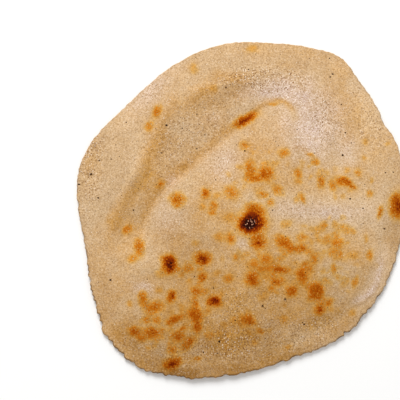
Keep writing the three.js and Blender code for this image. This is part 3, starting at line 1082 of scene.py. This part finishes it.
    pit_patches: tuple[Mound, ...] = mounds(
        (-28, 42, 36, 15, 45, 0.4), (6, -70, 46, 14, 4, 0.34), (48, 46, 10, 14, 0, 0.3),
        (14, 70, 22, 8, -4, 0.85), (-10, -73, 15, 8, 0, 0.5), (38, -64, 22, 7, 25, 0.28),
        (-82, 22, 7, 26, -5, 0.6), (44, 52, 6, 14, 0, 0.55), (-6, -52, 22, 9, 10, 0.45),
        (68, 48, 8, 20, 25, 0.4), (-46, -80, 30, 8, -24, 0.3),
    )
    least_flour: float = 0.06
    flour_share: float = 0.65
    flour_swing: float = 0.6
    flour_mottle: Mottle = Mottle(6.0, 20.0, -70.0)
    rim_tan: float = 0.30
    rim_insets: tuple[float, float] = (1.0, 10.0)
    least_rim: float = 0.30
    rim_lobes: tuple[Lobe, ...] = (Lobe(-95, 0.8, 60), Lobe(30, 0.4, 40))
    tan_swing: float = 0.12
    tan_mottle: Mottle = Mottle(9.0, -30.0, 90.0)
    most_tan: float = 1.1
    dark_swing: float = 0.05
    dark_mottle: Mottle = Mottle(8.0, 5.0, 33.0)
    dark_limits: tuple[float, float] = (-0.3, 1.0)
    least_pitted: float = 0.10
    pit_share: float = 0.8
    pit_swing: float = 0.4
    pit_mottle: Mottle = Mottle(5.0, -11.0, 7.0)
    # The edge's crust and the painted shadow along it.
    crust_and_shadow_width: float = 1.3
    crust_and_shadow_heights: tuple[float, float] = (0.9, 1.6)
    crust_and_shadow_mottle: Mottle = Mottle(2.6)
    crust_and_shadow_breaks: tuple[float, float] = (-0.35, 0.35)
    least_crust_and_shadow: float = 0.35
    crust_and_shadow_swing: float = 0.75

    def flour(self, x: Array, y: Array) -> Array:
        """Lays flour in patches and streaks, broken up by grain; over the dome's upper right the patches
        paint its sheen as well, and the first streak is a painted highlight on the lit wall of the lower
        right groove.

        Args:
            x: places along X.
            y: places along Y.

        Returns:
            How thickly it lies, from 0 to 1.
        """
        patches = sum(patch.at(x, y) for patch in self.flour_and_sheen_patches + self.flour_and_highlight_streaks)
        broken = 0.5 + 0.5 * self.flour_mottle.at(self.form.grain, x, y)
        laid = patches * (self.flour_share + self.flour_swing * broken)
        return np.clip(laid + self.least_flour * broken, 0.0, 1.0)

    def tan(self, x: Array, y: Array) -> Array:
        """Tans the skin in patches, in streaks and along the rim; the last streak, just inside the lower
        right rim, is painted shade.

        Args:
            x: places along X.
            y: places along Y.

        Returns:
            How tanned it is, from 0 for pale to 1 for fully tanned, or a little more.
        """
        inset = self.form.inset(x, y)
        bearing = np.degrees(np.arctan2(y, x))
        sides = sum((lobe.at(bearing) for lobe in self.rim_lobes), self.least_rim)
        rim = self.rim_tan * (1.0 - ease(inset, *self.rim_insets)) * sides
        streaks = sum(band.at(x, y) for band in self.streaks)
        patches = sum(patch.plateau(x, y) for patch in self.tan_patches)
        broken = self.tan_swing * self.tan_mottle.at(self.form.grain, x, y)
        return np.clip(patches + rim + streaks + broken, 0.0, self.most_tan)

    def tone_and_shade(self, x: Array, y: Array) -> Array:
        """Darkens the skin in patches and streaks, and pales it where they are below 0: partly its own tone,
        partly painted shade and painted light.

        Args:
            x: places along X.
            y: places along Y.

        Returns:
            How much darker it is than the dough around it, by tone and painted shade.
        """
        patches = sum(patch.plateau(x, y) for patch in self.tone_and_shade_patches)
        patches += sum(band.at(x, y) for band in self.tone_and_shade_streaks)
        broken = self.dark_swing * self.dark_mottle.at(self.form.grain, x, y)
        return np.clip(patches + broken, *self.dark_limits)

    def pitted(self, x: Array, y: Array) -> Array:
        """Roughens the skin in patches with small pits and crumbs.

        Args:
            x: places along X.
            y: places along Y.

        Returns:
            How rough it is, from 0 to 1.
        """
        patches = sum(patch.plateau(x, y) for patch in self.pit_patches)
        broken = self.pit_share + self.pit_swing * self.pit_mottle.at(self.form.grain, x, y)
        return np.clip(self.least_pitted + patches * broken, 0.0, 1.0)

    def crust_and_shadow(self, x: Array, y: Array, z: Array) -> Array:
        """Works out the crust of the torn edge and the painted shadow along it, in short broken stretches on
        its upper half.

        Args:
            x: places along X.
            y: places along Y.
            z: heights above the table.

        Returns:
            How much the crust and its painted shadow darken the edge, and less where the edge is smooth.
        """
        bearing, radius = np.degrees(np.arctan2(y, x)), np.hypot(x, y)
        edge = ease(radius - self.form.ragged_radius(bearing), -self.crust_and_shadow_width, 0.0)
        edge *= ease(z - self.form.curl(bearing, radius), *self.crust_and_shadow_heights)
        stretches = ease(self.crust_and_shadow_mottle.at(self.form.grain, x, y), *self.crust_and_shadow_breaks)
        broken = self.least_crust_and_shadow + self.crust_and_shadow_swing * stretches
        return edge * np.clip(self.form.ragged(bearing) * broken, 0.0, 1.0)


@dataclass(frozen=True)
class Flecks:
    """Small flat flakes lying on the skin, each a low bipyramid over an uneven five-sided outline."""

    name: str
    count: int
    seed: int
    sizes: tuple[float, float]
    thickness: float
    sunk: float
    placed: tuple[tuple[float, float, float], ...] = ()
    sides: int = 5
    rim_gap: float = 2.0
    tries_each: int = 12
    even_chance: float = 0.55
    least_chance: float = 0.05
    browning_loss: float = 2.0
    reaches: tuple[float, float] = (0.7, 1.2)
    stretches: tuple[float, float] = (0.45, 1.0)

    def scatter(self, bread: Bread, draw: np.random.Generator, thin_out: bool) -> tuple[Array, Array]:
        """Draws places inside the outline, by chance more where the skin is floury and not browned.

        Args:
            bread: the bread to lie on.
            draw: the seeded generator.
            thin_out: whether a place's chance follows the flour and the browning there.

        Returns:
            The places along X and along Y.
        """
        tries = self.count * self.tries_each
        bearing = draw.uniform(0.0, 360.0, tries)
        radius = np.sqrt(draw.random(tries)) * (bread.form.edge_radius(bearing) - self.rim_gap)
        x, y = radius * np.cos(np.radians(bearing)), radius * np.sin(np.radians(bearing))
        chance = np.full(tries, self.even_chance)
        if thin_out:
            pale = np.clip(1.0 - self.browning_loss * bread.toasting.at(x, y), 0.0, 1.0)
            chance = (SkinTints(bread.form).flour(x, y) + self.least_chance) * pale
        kept = np.flatnonzero(draw.random(tries) < chance)[: self.count]
        return x[kept], y[kept]

    def build(self, bread: Bread, thin_out: bool) -> MeshParts:
        """Lays the flakes on the skin.

        Each flake's outline point is middle + size * (cos, sin) * a draw from the reaches, set on the
        skin's own height there; its tips stand half the thickness above and below the middle.

        Args:
            bread: the bread to lie on.
            thin_out: whether the flakes follow the flour.

        Returns:
            The mesh of all flakes, in metres.
        """
        draw = np.random.default_rng(self.seed)
        x, y = self.scatter(bread, draw, thin_out)
        size = draw.uniform(*self.sizes, len(x))
        if self.placed:
            x, y, size = np.concatenate([np.array([x, y, size]), np.array(self.placed).T], axis=1)
        count = len(x)
        angle = draw.uniform(0, 2 * math.pi, (count, 1)) + np.arange(self.sides) * 2 * math.pi / self.sides
        reach = size[:, None] * draw.uniform(*self.reaches, (count, self.sides))
        stretch = draw.uniform(*self.stretches, (count, 1))
        ring_x, ring_y = x[:, None] + reach * np.cos(angle), y[:, None] + stretch * reach * np.sin(angle)
        ring = np.stack([ring_x, ring_y, bread.height(ring_x, ring_y) - self.sunk], axis=2)
        middle_z, rise = bread.height(x, y) - self.sunk, 0.5 * self.thickness
        tips = np.stack([np.stack([x, y, middle_z + side * rise], axis=1) for side in (1.0, -1.0)], axis=1)
        points = np.concatenate([ring, tips], axis=1).reshape(-1, 3)
        points[:, :2] -= bread.form.middle
        triangles = self.triangles()[None] + (self.sides + 2) * np.arange(count)[:, None, None]
        return MeshParts(points * MM, np.zeros((0, 4), int), triangles.reshape(-1, 3))

    def triangles(self) -> Array:
        """Joins each edge of one flake's outline to the upper tip and to the lower one.

        Returns:
            The flake's triangles.
        """
        step = np.arange(self.sides)
        after = (step + 1) % self.sides
        upper = np.stack([step, after, np.full(self.sides, self.sides)], axis=1)
        lower = np.stack([after, step, np.full(self.sides, self.sides + 1)], axis=1)
        return np.concatenate([upper, lower])


BRAN = Flecks(
    "bran_flecks", count=300, seed=31, sizes=(0.20, 0.42), thickness=0.22, sunk=0.02,
    placed=(
        (55.7, 41, 0.7), (54, 28.8, 0.9), (38.6, 29.6, 0.6), (64.6, 0.4, 0.9), (76.8, -10.6, 1),
        (77.4, 19.6, 0.8), (81.8, 20, 0.6), (53.8, 56.4, 0.7), (49.4, 73, 0.9), (48, 71.4, 0.7),
        (47.8, 81.8, 0.7), (29.4, 42.4, 0.6), (-43, 30, 0.8), (-24, 32.4, 0.8), (-24, 51, 0.8),
        (-40.4, 44.8, 0.9), (-31.8, 43.4, 0.6), (-50.6, 57.2, 0.5), (-58, -0.6, 0.8), (-70.4, -38, 0.9),
        (-77, 6, 0.7), (-70, 26.8, 0.6), (-76.4, 26.2, 0.6), (-81, 18.8, 0.9), (-8.4, 65.2, 0.6),
        (3.8, 75.2, 0.7), (1.6, 31, 0.7), (-20, 39.8, 0.5), (-25.2, -36, 0.6), (33.2, -61.4, 0.9),
        (32.4, -60.6, 0.6), (-3.6, -59.4, 0.7), (57.6, 5.4, 0.8), (58.8, 35.4, 0.6), (-12, -70.6, 0.9),
        (-15.2, -42, 0.6), (-20.6, -76.4, 0.6), (-13, -77, 0.6), (11, -51.6, 0.8), (12.4, -53, 0.5),
        (-50.4, -37.4, 0.6), (-14, 15.4, 0.6), (-87.4, 13.4, 0.8), (16, -0.8, 0.6), (-17, 9.8, 0.5),
        (45, 58, 0.5), (-62, 46.8, 0.6), (22.8, -48, 0.7),
    ),
)
DUST = Flecks("flour_dust", count=2200, seed=37, sizes=(0.12, 0.22), thickness=0.14, sunk=0.0)


# ---- Finish -----------------------------------------------------------------------------------


class Sum(Enum):
    """A Math node's operation."""

    TIMES = "MULTIPLY"
    PLUS = "ADD"
    LESS = "SUBTRACT"
    POWER = "POWER"
    LARGER = "MAXIMUM"
    TIMES_PLUS = "MULTIPLY_ADD"


class Noise(NamedTuple):
    """Smooth noise: features to the millimetre, layers and their roughness."""

    per_mm: float
    detail: float
    rough: float


class Grains(NamedTuple):
    """Round grains: cells to the millimetre, radius in cells and the share of cells left empty."""

    per_mm: float
    size: float
    rarity: float


class Window(NamedTuple):
    """An eased step from low at start to high at end."""

    start: float
    end: float
    low: float = 0.0
    high: float = 1.0


class NodeSheet:
    """A material's node tree, with short calls for the nodes that a finish needs."""

    GRAIN_FADE = 1.5
    RARITY_STEP = 0.05

    def __init__(self, name: str) -> None:
        """Makes an empty material.

        Args:
            name: the material's name.
        """
        self.material = bpy.data.materials.new(name)
        self.material.use_nodes = True
        self.tree = self.material.node_tree
        self.tree.nodes.clear()

    def node(self, kind: str, **sockets: object) -> bpy.types.Node:
        """Adds a node and fills its inputs.

        Args:
            kind: the node's type.
            sockets: input identifiers with underscores for spaces, each with a value or an output.

        Returns:
            The new node.
        """
        made = self.tree.nodes.new(kind)
        for key, value in sockets.items():
            name = key.replace("_", " ")
            socket = next(s for s in made.inputs if s.identifier in (key, name) or s.name == name)
            self.feed(socket, value)
        return made

    def feed(self, socket: Socket, value: object) -> None:
        """Links an output to the socket, or sets its value.

        Args:
            socket: the input.
            value: another node's output, or a plain value.
        """
        if isinstance(value, Socket):
            self.tree.links.new(value, socket)
        else:
            socket.default_value = value

    def feed_in_order(self, node: bpy.types.Node, *values: object) -> Socket:
        """Fills the node's inputs in order.

        Args:
            node: the node.
            values: outputs or plain values.

        Returns:
            The node's first output.
        """
        for socket, value in zip(node.inputs, values):
            self.feed(socket, value)
        return node.outputs[0]

    def value(self, name: str) -> Socket:
        """Reads a named point value.

        Args:
            name: the value's name in the mesh.

        Returns:
            The value.
        """
        made = self.node("ShaderNodeAttribute")
        made.attribute_name = name
        return made.outputs["Fac"]

    def coordinates(self) -> Socket:
        """Returns the object's own coordinates in millimetres."""
        own = self.node("ShaderNodeTexCoord").outputs["Object"]
        return self.node("ShaderNodeMapping", Vector=own, Scale=(1.0 / MM,) * 3).outputs["Vector"]

    def noise(self, place: Socket, noise: Noise) -> Socket:
        """Returns the noise at each place, which is in millimetres."""
        sizes = {"Scale": noise.per_mm, "Detail": noise.detail, "Roughness": noise.rough}
        return self.node("ShaderNodeTexNoise", Vector=place, **sizes).outputs[0]

    def grains(self, place: Socket, grains: Grains) -> Socket:
        """Scatters round grains: one in a random cell, full inside its size and gone past the fade.

        Args:
            place: coordinates in millimetres.
            grains: the grains.

        Returns:
            1 on a grain and 0 between them.
        """
        cells = self.node("ShaderNodeTexVoronoi", Vector=place, Scale=grains.per_mm, Randomness=1.0)
        drawn = self.node("ShaderNodeSeparateColor", Color=cells.outputs["Color"]).outputs[0]
        near = self.window(cells.outputs["Distance"], Window(self.GRAIN_FADE * grains.size, grains.size))
        return self.times(near, self.window(drawn, Window(grains.rarity, grains.rarity + self.RARITY_STEP)))

    def window(self, value: Socket, window: Window) -> Socket:
        """Puts a value through the window's eased step.

        Args:
            value: the value.
            window: the step.

        Returns:
            The eased value.
        """
        made = self.node("ShaderNodeMapRange")
        made.interpolation_type = "SMOOTHSTEP"
        return self.feed_in_order(made, value, *window)

    def work(self, operation: Sum, *values: object) -> Socket:
        """Does one sum on up to three values.

        Args:
            operation: the sum.
            values: outputs or plain values.

        Returns:
            The result.
        """
        made = self.node("ShaderNodeMath")
        made.operation = operation.value
        return self.feed_in_order(made, *values)

    def times(self, first: object, second: object) -> Socket:
        """Returns the product of two values."""
        return self.work(Sum.TIMES, first, second)

    def plus(self, first: object, second: object) -> Socket:
        """Returns the sum of two values."""
        return self.work(Sum.PLUS, first, second)

    def mix(self, share: object, first: object, second: object, blend: str = "MIX") -> Socket:
        """Mixes two colours by a share.

        Args:
            share: how much of the second there is.
            first: the lower colour.
            second: the colour laid over it.
            blend: how it is laid over.

        Returns:
            The mixed colour.
        """
        made = self.node("ShaderNodeMix")
        made.data_type = "RGBA"
        made.blend_type = blend
        sockets = {socket.identifier: socket for socket in made.inputs}
        for key, value in (("Factor_Float", share), ("A_Color", first), ("B_Color", second)):
            self.feed(sockets[key], value)
        return next(socket for socket in made.outputs if socket.identifier == "Result_Color")

    def ramp(self, value: Socket, stops: tuple[tuple[float, Colour], ...]) -> Socket:
        """Runs a colour ramp through the stops.

        Args:
            value: the place on the ramp, from 0 to 1.
            stops: each stop's place and colour.

        Returns:
            The ramp's colour.
        """
        made = self.node("ShaderNodeValToRGB", Fac=value)
        band = made.color_ramp
        while len(band.elements) < len(stops):
            band.elements.new(1.0)
        for element, (position, colour) in zip(band.elements, stops):
            element.position = position
            element.color = colour
        return made.outputs["Color"]

    def surface(self, colour: object, roughness: float, specular: float) -> bpy.types.Node:
        """Adds the shader of a dull surface."""
        sockets = {"Base_Color": colour, "Roughness": roughness, "Specular_IOR_Level": specular}
        return self.node("ShaderNodeBsdfPrincipled", **sockets)

    def close(self, surface: bpy.types.Node) -> bpy.types.Material:
        """Links the surface to the material's output.

        Args:
            surface: the shader.

        Returns:
            The finished material.
        """
        output = self.node("ShaderNodeOutputMaterial", Surface=surface.outputs[0])
        output.is_active_output = True
        return self.material


class DoughSheet(NodeSheet):
    """A sheet with the two grains and the point values that the dough's layers share."""

    def __init__(self, fine: Noise, grit: Noise) -> None:
        """Makes the shared nodes.

        Args:
            fine: the dough's fine grain.
            grit: its finer grit.
        """
        super().__init__("baked dough")
        self.place = self.coordinates()
        self.fine, self.grit = self.noise(self.place, fine), self.noise(self.place, grit)
        self.toast, self.flour, self.tan = (self.value(name) for name in ("toast", "flour", "tan"))
        self.crust_and_shadow, self.tone_and_shade, self.pitted = (self.value(name) for name in ("crust_and_shadow", "tone_and_shade", "pitted"))


@dataclass(frozen=True)
class DoughFinish:
    """Griddle-baked wholemeal dough: pale skin, flour, fine grain and toasted spots."""

    skin: Colour = srgb(198, 166, 126)
    tanned: Colour = srgb(193, 144, 76)
    # The flour's colour, which also paints the sheen and the highlight laid with it.
    flour: Colour = srgb(200, 175, 160)
    bran: Colour = srgb(124, 80, 40)
    flour_grain: Colour = srgb(248, 234, 216)
    ash: Colour = srgb(240, 178, 142)
    # The torn edge's crust colour, dark enough to paint the shadow along the edge too.
    crust_and_shadow: Colour = srgb(92, 66, 44)
    toast_stops: tuple[tuple[float, Colour], ...] = (
        (0.00, (1.0, 1.0, 1.0, 1.0)),
        (0.18, (1.0, 0.84, 0.44, 1.0)),
        (0.42, (0.94, 0.515, 0.048, 1.0)),
        (0.62, (0.76, 0.266, 0.003, 1.0)),
        (0.80, (0.47, 0.086, 0.001, 1.0)),
        (0.92, (0.18, 0.022, 0.004, 1.0)),
        (1.00, (0.04, 0.009, 0.007, 1.0)),
    )
    shade_powers: tuple[tuple[str, float], ...] = (("Red", 0.86), ("Green", 1.04), ("Blue", 1.33))
    roughness: float = 0.90
    specular: float = 0.04
    grain_height: float = 0.00014
    grit_share: float = 0.5

    fine: Noise = Noise(1.15, 3.0, 0.62)
    grit: Noise = Noise(2.3, 2.0, 0.6)
    cloud: Noise = Noise(0.20, 4.0, 0.62)
    hue: Noise = Noise(0.8, 2.0, 0.6)
    cloud_swing: Window = Window(0.3, 0.7, -1.0, 1.0)
    cloud_by_tan: Window = Window(0.0, 0.9, 0.07, 0.17)
    cloud_shade: float = -0.28
    hue_swing: Window = Window(0.3, 0.7, -0.02, 0.02)
    flour_by_grain: Window = Window(0.30, 0.62, 0.35, 1.0)
    lump_swing: Window = Window(0.28, 0.72, -0.29, 0.25)
    lump_by_pits: Window = Window(0.05, 0.9, 0.84, 1.34)

    pit_grains: Grains = Grains(1.25, 0.34, 0.62)
    pits_by_pitted: Window = Window(0.0, 1.0, 0.34, 1.0)
    crumb_grains: Grains = Grains(1.05, 0.30, 0.72)
    crumbs_by_pitted: Window = Window(0.0, 1.0, 0.09, 0.55)
    dust_grains: Grains = Grains(1.45, 0.30, 0.60)
    dust_by_flour: Window = Window(0.0, 0.8, 0.18, 0.62)

    swing_end: float = 1.25
    swing_in: Window = Window(0.05, 0.42, 0.14, 1.0)
    swing_out: Window = Window(0.55, 0.85, 1.0, 0.55)
    fine_swing: Window = Window(0.30, 0.70, -0.52, 0.40)
    grit_swing: Window = Window(0.3, 0.7, -0.24, 0.24)
    pale_grains: Grains = Grains(0.95, 0.34, 0.50)
    pale_by_toast: Window = Window(0.7, 0.95, -0.62, -1.3)
    ash_grains: Grains = Grains(1.5, 0.33, 0.60)
    ash_by_toast: Window = Window(0.96, 1.12, 0.0, 0.80)

    def base(self, sheet: DoughSheet) -> Socket:
        """Lays tan and flour, with the flour's painted sheen, over the skin's colour, then shades it by its
        lumps and by the patches of tone and painted shade.

        The shade is (1 + lumps) * (1 - tone_and_shade), raised to a power of its own for each channel.

        Args:
            sheet: the dough's sheet.

        Returns:
            The colour.
        """
        cloud, hue = sheet.noise(sheet.place, self.cloud), sheet.noise(sheet.place, self.hue)
        mottled = sheet.window(cloud, self.cloud_swing)
        mottled = sheet.times(mottled, sheet.window(sheet.tan, self.cloud_by_tan))
        tan = sheet.plus(sheet.plus(sheet.tan, mottled), sheet.window(hue, self.hue_swing))
        colour = sheet.mix(tan, self.skin, self.tanned)
        flour = sheet.times(sheet.flour, sheet.window(sheet.fine, self.flour_by_grain))
        colour = sheet.mix(flour, colour, self.flour)
        lumps = sheet.window(sheet.fine, self.lump_swing)
        lumps = sheet.times(lumps, sheet.window(sheet.pitted, self.lump_by_pits))
        lumps = sheet.work(Sum.TIMES_PLUS, mottled, self.cloud_shade, lumps)
        # Lumps shade the skin; the patches of tone and painted shade darken it, or pale it below 0.
        shade = sheet.times(sheet.plus(lumps, 1.0), sheet.work(Sum.LESS, 1.0, sheet.tone_and_shade))
        channels = {name: sheet.work(Sum.POWER, shade, power) for name, power in self.shade_powers}
        shaded = sheet.node("ShaderNodeCombineColor", **channels).outputs[0]
        return sheet.mix(1.0, colour, shaded, "MULTIPLY")

    def speckled(self, sheet: DoughSheet, colour: Socket) -> Socket:
        """Scatters pits of bran, pale crumbs and grains of flour.

        Args:
            sheet: the dough's sheet.
            colour: the colour under them.

        Returns:
            The colour with the specks.
        """
        for grains, amount, window, speck in (
            (self.pit_grains, sheet.pitted, self.pits_by_pitted, self.bran),
            (self.crumb_grains, sheet.pitted, self.crumbs_by_pitted, self.flour_grain),
            (self.dust_grains, sheet.flour, self.dust_by_flour, self.flour_grain),
        ):
            share = sheet.times(sheet.grains(sheet.place, grains), sheet.window(amount, window))
            colour = sheet.mix(share, colour, speck)
        return colour

    def toasted(self, sheet: DoughSheet, colour: Socket) -> Socket:
        """Browns the dough by its toast, made uneven by the grains, and dusts the charred spots with ash.

        The unevenness is scaled by toast * (swing_end - toast), so that pale skin and char stay even.

        Args:
            sheet: the dough's sheet.
            colour: the colour of the unbrowned dough.

        Returns:
            The browned colour.
        """
        toast = sheet.toast
        swing = sheet.work(Sum.LARGER, sheet.times(toast, sheet.work(Sum.LESS, self.swing_end, toast)), 0.0)
        for window in (self.swing_in, self.swing_out):
            swing = sheet.times(swing, sheet.window(toast, window))
        uneven = sheet.window(sheet.fine, self.fine_swing)
        uneven = sheet.plus(uneven, sheet.window(sheet.grit, self.grit_swing))
        pale = sheet.window(toast, self.pale_by_toast)
        uneven = sheet.plus(uneven, sheet.times(sheet.grains(sheet.place, self.pale_grains), pale))
        browned = sheet.work(Sum.TIMES_PLUS, swing, uneven, toast)
        colour = sheet.mix(1.0, colour, sheet.ramp(browned, self.toast_stops), "MULTIPLY")
        ash = sheet.times(sheet.window(toast, self.ash_by_toast), sheet.grains(sheet.place, self.ash_grains))
        return sheet.mix(ash, colour, self.ash)

    def build(self) -> bpy.types.Material:
        """Joins the colour's layers, with the two grains as the finest bumps.

        Returns:
            The material.
        """
        sheet = DoughSheet(self.fine, self.grit)
        colour = self.toasted(sheet, self.speckled(sheet, self.base(sheet)))
        # The edge's crust, with the painted shadow along the edge.
        colour = sheet.mix(sheet.crust_and_shadow, colour, self.crust_and_shadow)
        height = sheet.work(Sum.TIMES_PLUS, sheet.grit, self.grit_share, sheet.fine)
        bump = sheet.node("ShaderNodeBump", Strength=1.0, Distance=self.grain_height, Height=height)
        surface = sheet.surface(colour, self.roughness, self.specular)
        sheet.feed(surface.inputs["Normal"], bump.outputs["Normal"])
        return sheet.close(surface)


@dataclass(frozen=True)
class PlainFinish:
    """One even, dull colour."""

    name: str
    colour: Colour
    roughness: float = 0.9
    specular: float = 0.04

    def build(self) -> bpy.types.Material:
        """Returns the material."""
        sheet = NodeSheet(self.name)
        return sheet.close(sheet.surface(self.colour, self.roughness, self.specular))


BRAN_FINISH = PlainFinish("bran", srgb(56, 32, 14))
DUST_FINISH = PlainFinish("flour dust", srgb(236, 222, 204))
FLOOR_FINISH = PlainFinish("pale floor", (0.90, 0.90, 0.895, 1.0), specular=0.5)


# ---- Studio -----------------------------------------------------------------------------------


@dataclass
class Studio:
    """Camera, lights and floor."""

    lens: float = 100.0
    sensor: float = 36.0
    frame_width: float = 0.2144  # width of the view on the table
    aim: tuple[float, float, float] = (-0.02165, 0.00475, 0.006)
    elevation: float = 88.0
    key_bearing: float = 104.0
    key_elevation: float = 38.0
    key_distance: float = 1.8
    key_size: float = 0.9
    key_power: float = 31.0
    room_colour: Colour = (1.0, 0.99, 0.98, 1.0)
    ambient: float = 0.61
    floor_size: float = 6.0
    floor_gap: float = 0.0001

    def hang(self, data: bpy.types.ID, middle: Vector, outward: Vector, distance: float) -> bpy.types.Object:
        """Hangs a camera or a light off a point, and turns it to face the point.

        Args:
            data: the camera's or the light's data.
            middle: the point.
            outward: direction from the point, of length 1.
            distance: distance from the point, in metres.

        Returns:
            The new object.
        """
        made = bpy.data.objects.new(data.name, data)
        bpy.context.scene.collection.objects.link(made)
        made.location = middle + outward * distance
        made.rotation_euler = (-outward).to_track_quat("-Z", "Y").to_euler()
        return made

    def camera(self) -> None:
        """Stands the camera almost straight over the table, so that frame_width fills the view."""
        data = bpy.data.cameras.new("camera")
        data.lens, data.sensor_width = self.lens, self.sensor
        tilt = math.radians(self.elevation)
        back = Vector((0.0, -math.cos(tilt), math.sin(tilt)))
        distance = self.frame_width * self.lens / self.sensor
        bpy.context.scene.camera = self.hang(data, Vector(self.aim), back, distance)

    def key_light(self) -> None:
        """Hangs a large soft box to the upper left."""
        data = bpy.data.lights.new("soft box", "AREA")
        data.shape, data.size, data.energy = "DISK", self.key_size, self.key_power
        bearing, rise = math.radians(self.key_bearing), math.radians(self.key_elevation)
        flat = math.cos(rise)
        toward = Vector((math.cos(bearing) * flat, math.sin(bearing) * flat, math.sin(rise)))
        self.hang(data, Vector(), toward, self.key_distance)

    def room(self) -> None:
        """Fills the room with even white light and shows colours as they are."""
        world = bpy.data.worlds.new("room")
        world.use_nodes = True
        background = world.node_tree.nodes["Background"]
        background.inputs["Color"].default_value = self.room_colour
        background.inputs["Strength"].default_value = self.ambient
        bpy.context.scene.world = world
        bpy.context.scene.view_settings.view_transform = "Standard"

    def floor(self) -> None:
        """Lays a plain pale floor just under the bread."""
        half = self.floor_size / 2
        corners = np.array([(-half, -half), (half, -half), (half, half), (-half, half)])
        points = np.column_stack([corners, np.full(4, -self.floor_gap)])
        made = MeshParts(points, np.arange(4)[None], np.zeros((0, 3), int)).make("floor", smooth=False)
        made.data.materials.append(FLOOR_FINISH.build())

    def build(self) -> None:
        """Sets up the whole studio."""
        self.camera()
        self.key_light()
        self.room()
        self.floor()


# ---- Making it --------------------------------------------------------------------------------


def main() -> None:
    """Loads the frame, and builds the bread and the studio."""
    logging.basicConfig(level=logging.INFO, format="%(name)s: %(message)s")
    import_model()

    bread = Bread()
    skin = bread.build().make("chapati_skin")
    skin.data.materials.append(DoughFinish().build())
    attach(skin, BODY)
    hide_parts(NODE)
    LOG.info("skin: %d points, %d faces", len(skin.data.vertices), len(skin.data.polygons))

    for flecks, finish, thin_out in ((BRAN, BRAN_FINISH, False), (DUST, DUST_FINISH, True)):
        piece = flecks.build(bread, thin_out).make(flecks.name, smooth=False)
        piece.data.materials.append(finish.build())
        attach(piece, BODY)
        LOG.info("%s: %d faces", flecks.name, len(piece.data.polygons))

    Studio().build()
    LOG.info("studio: camera, soft box, room and floor")


if __name__ == "__main__":
    main()
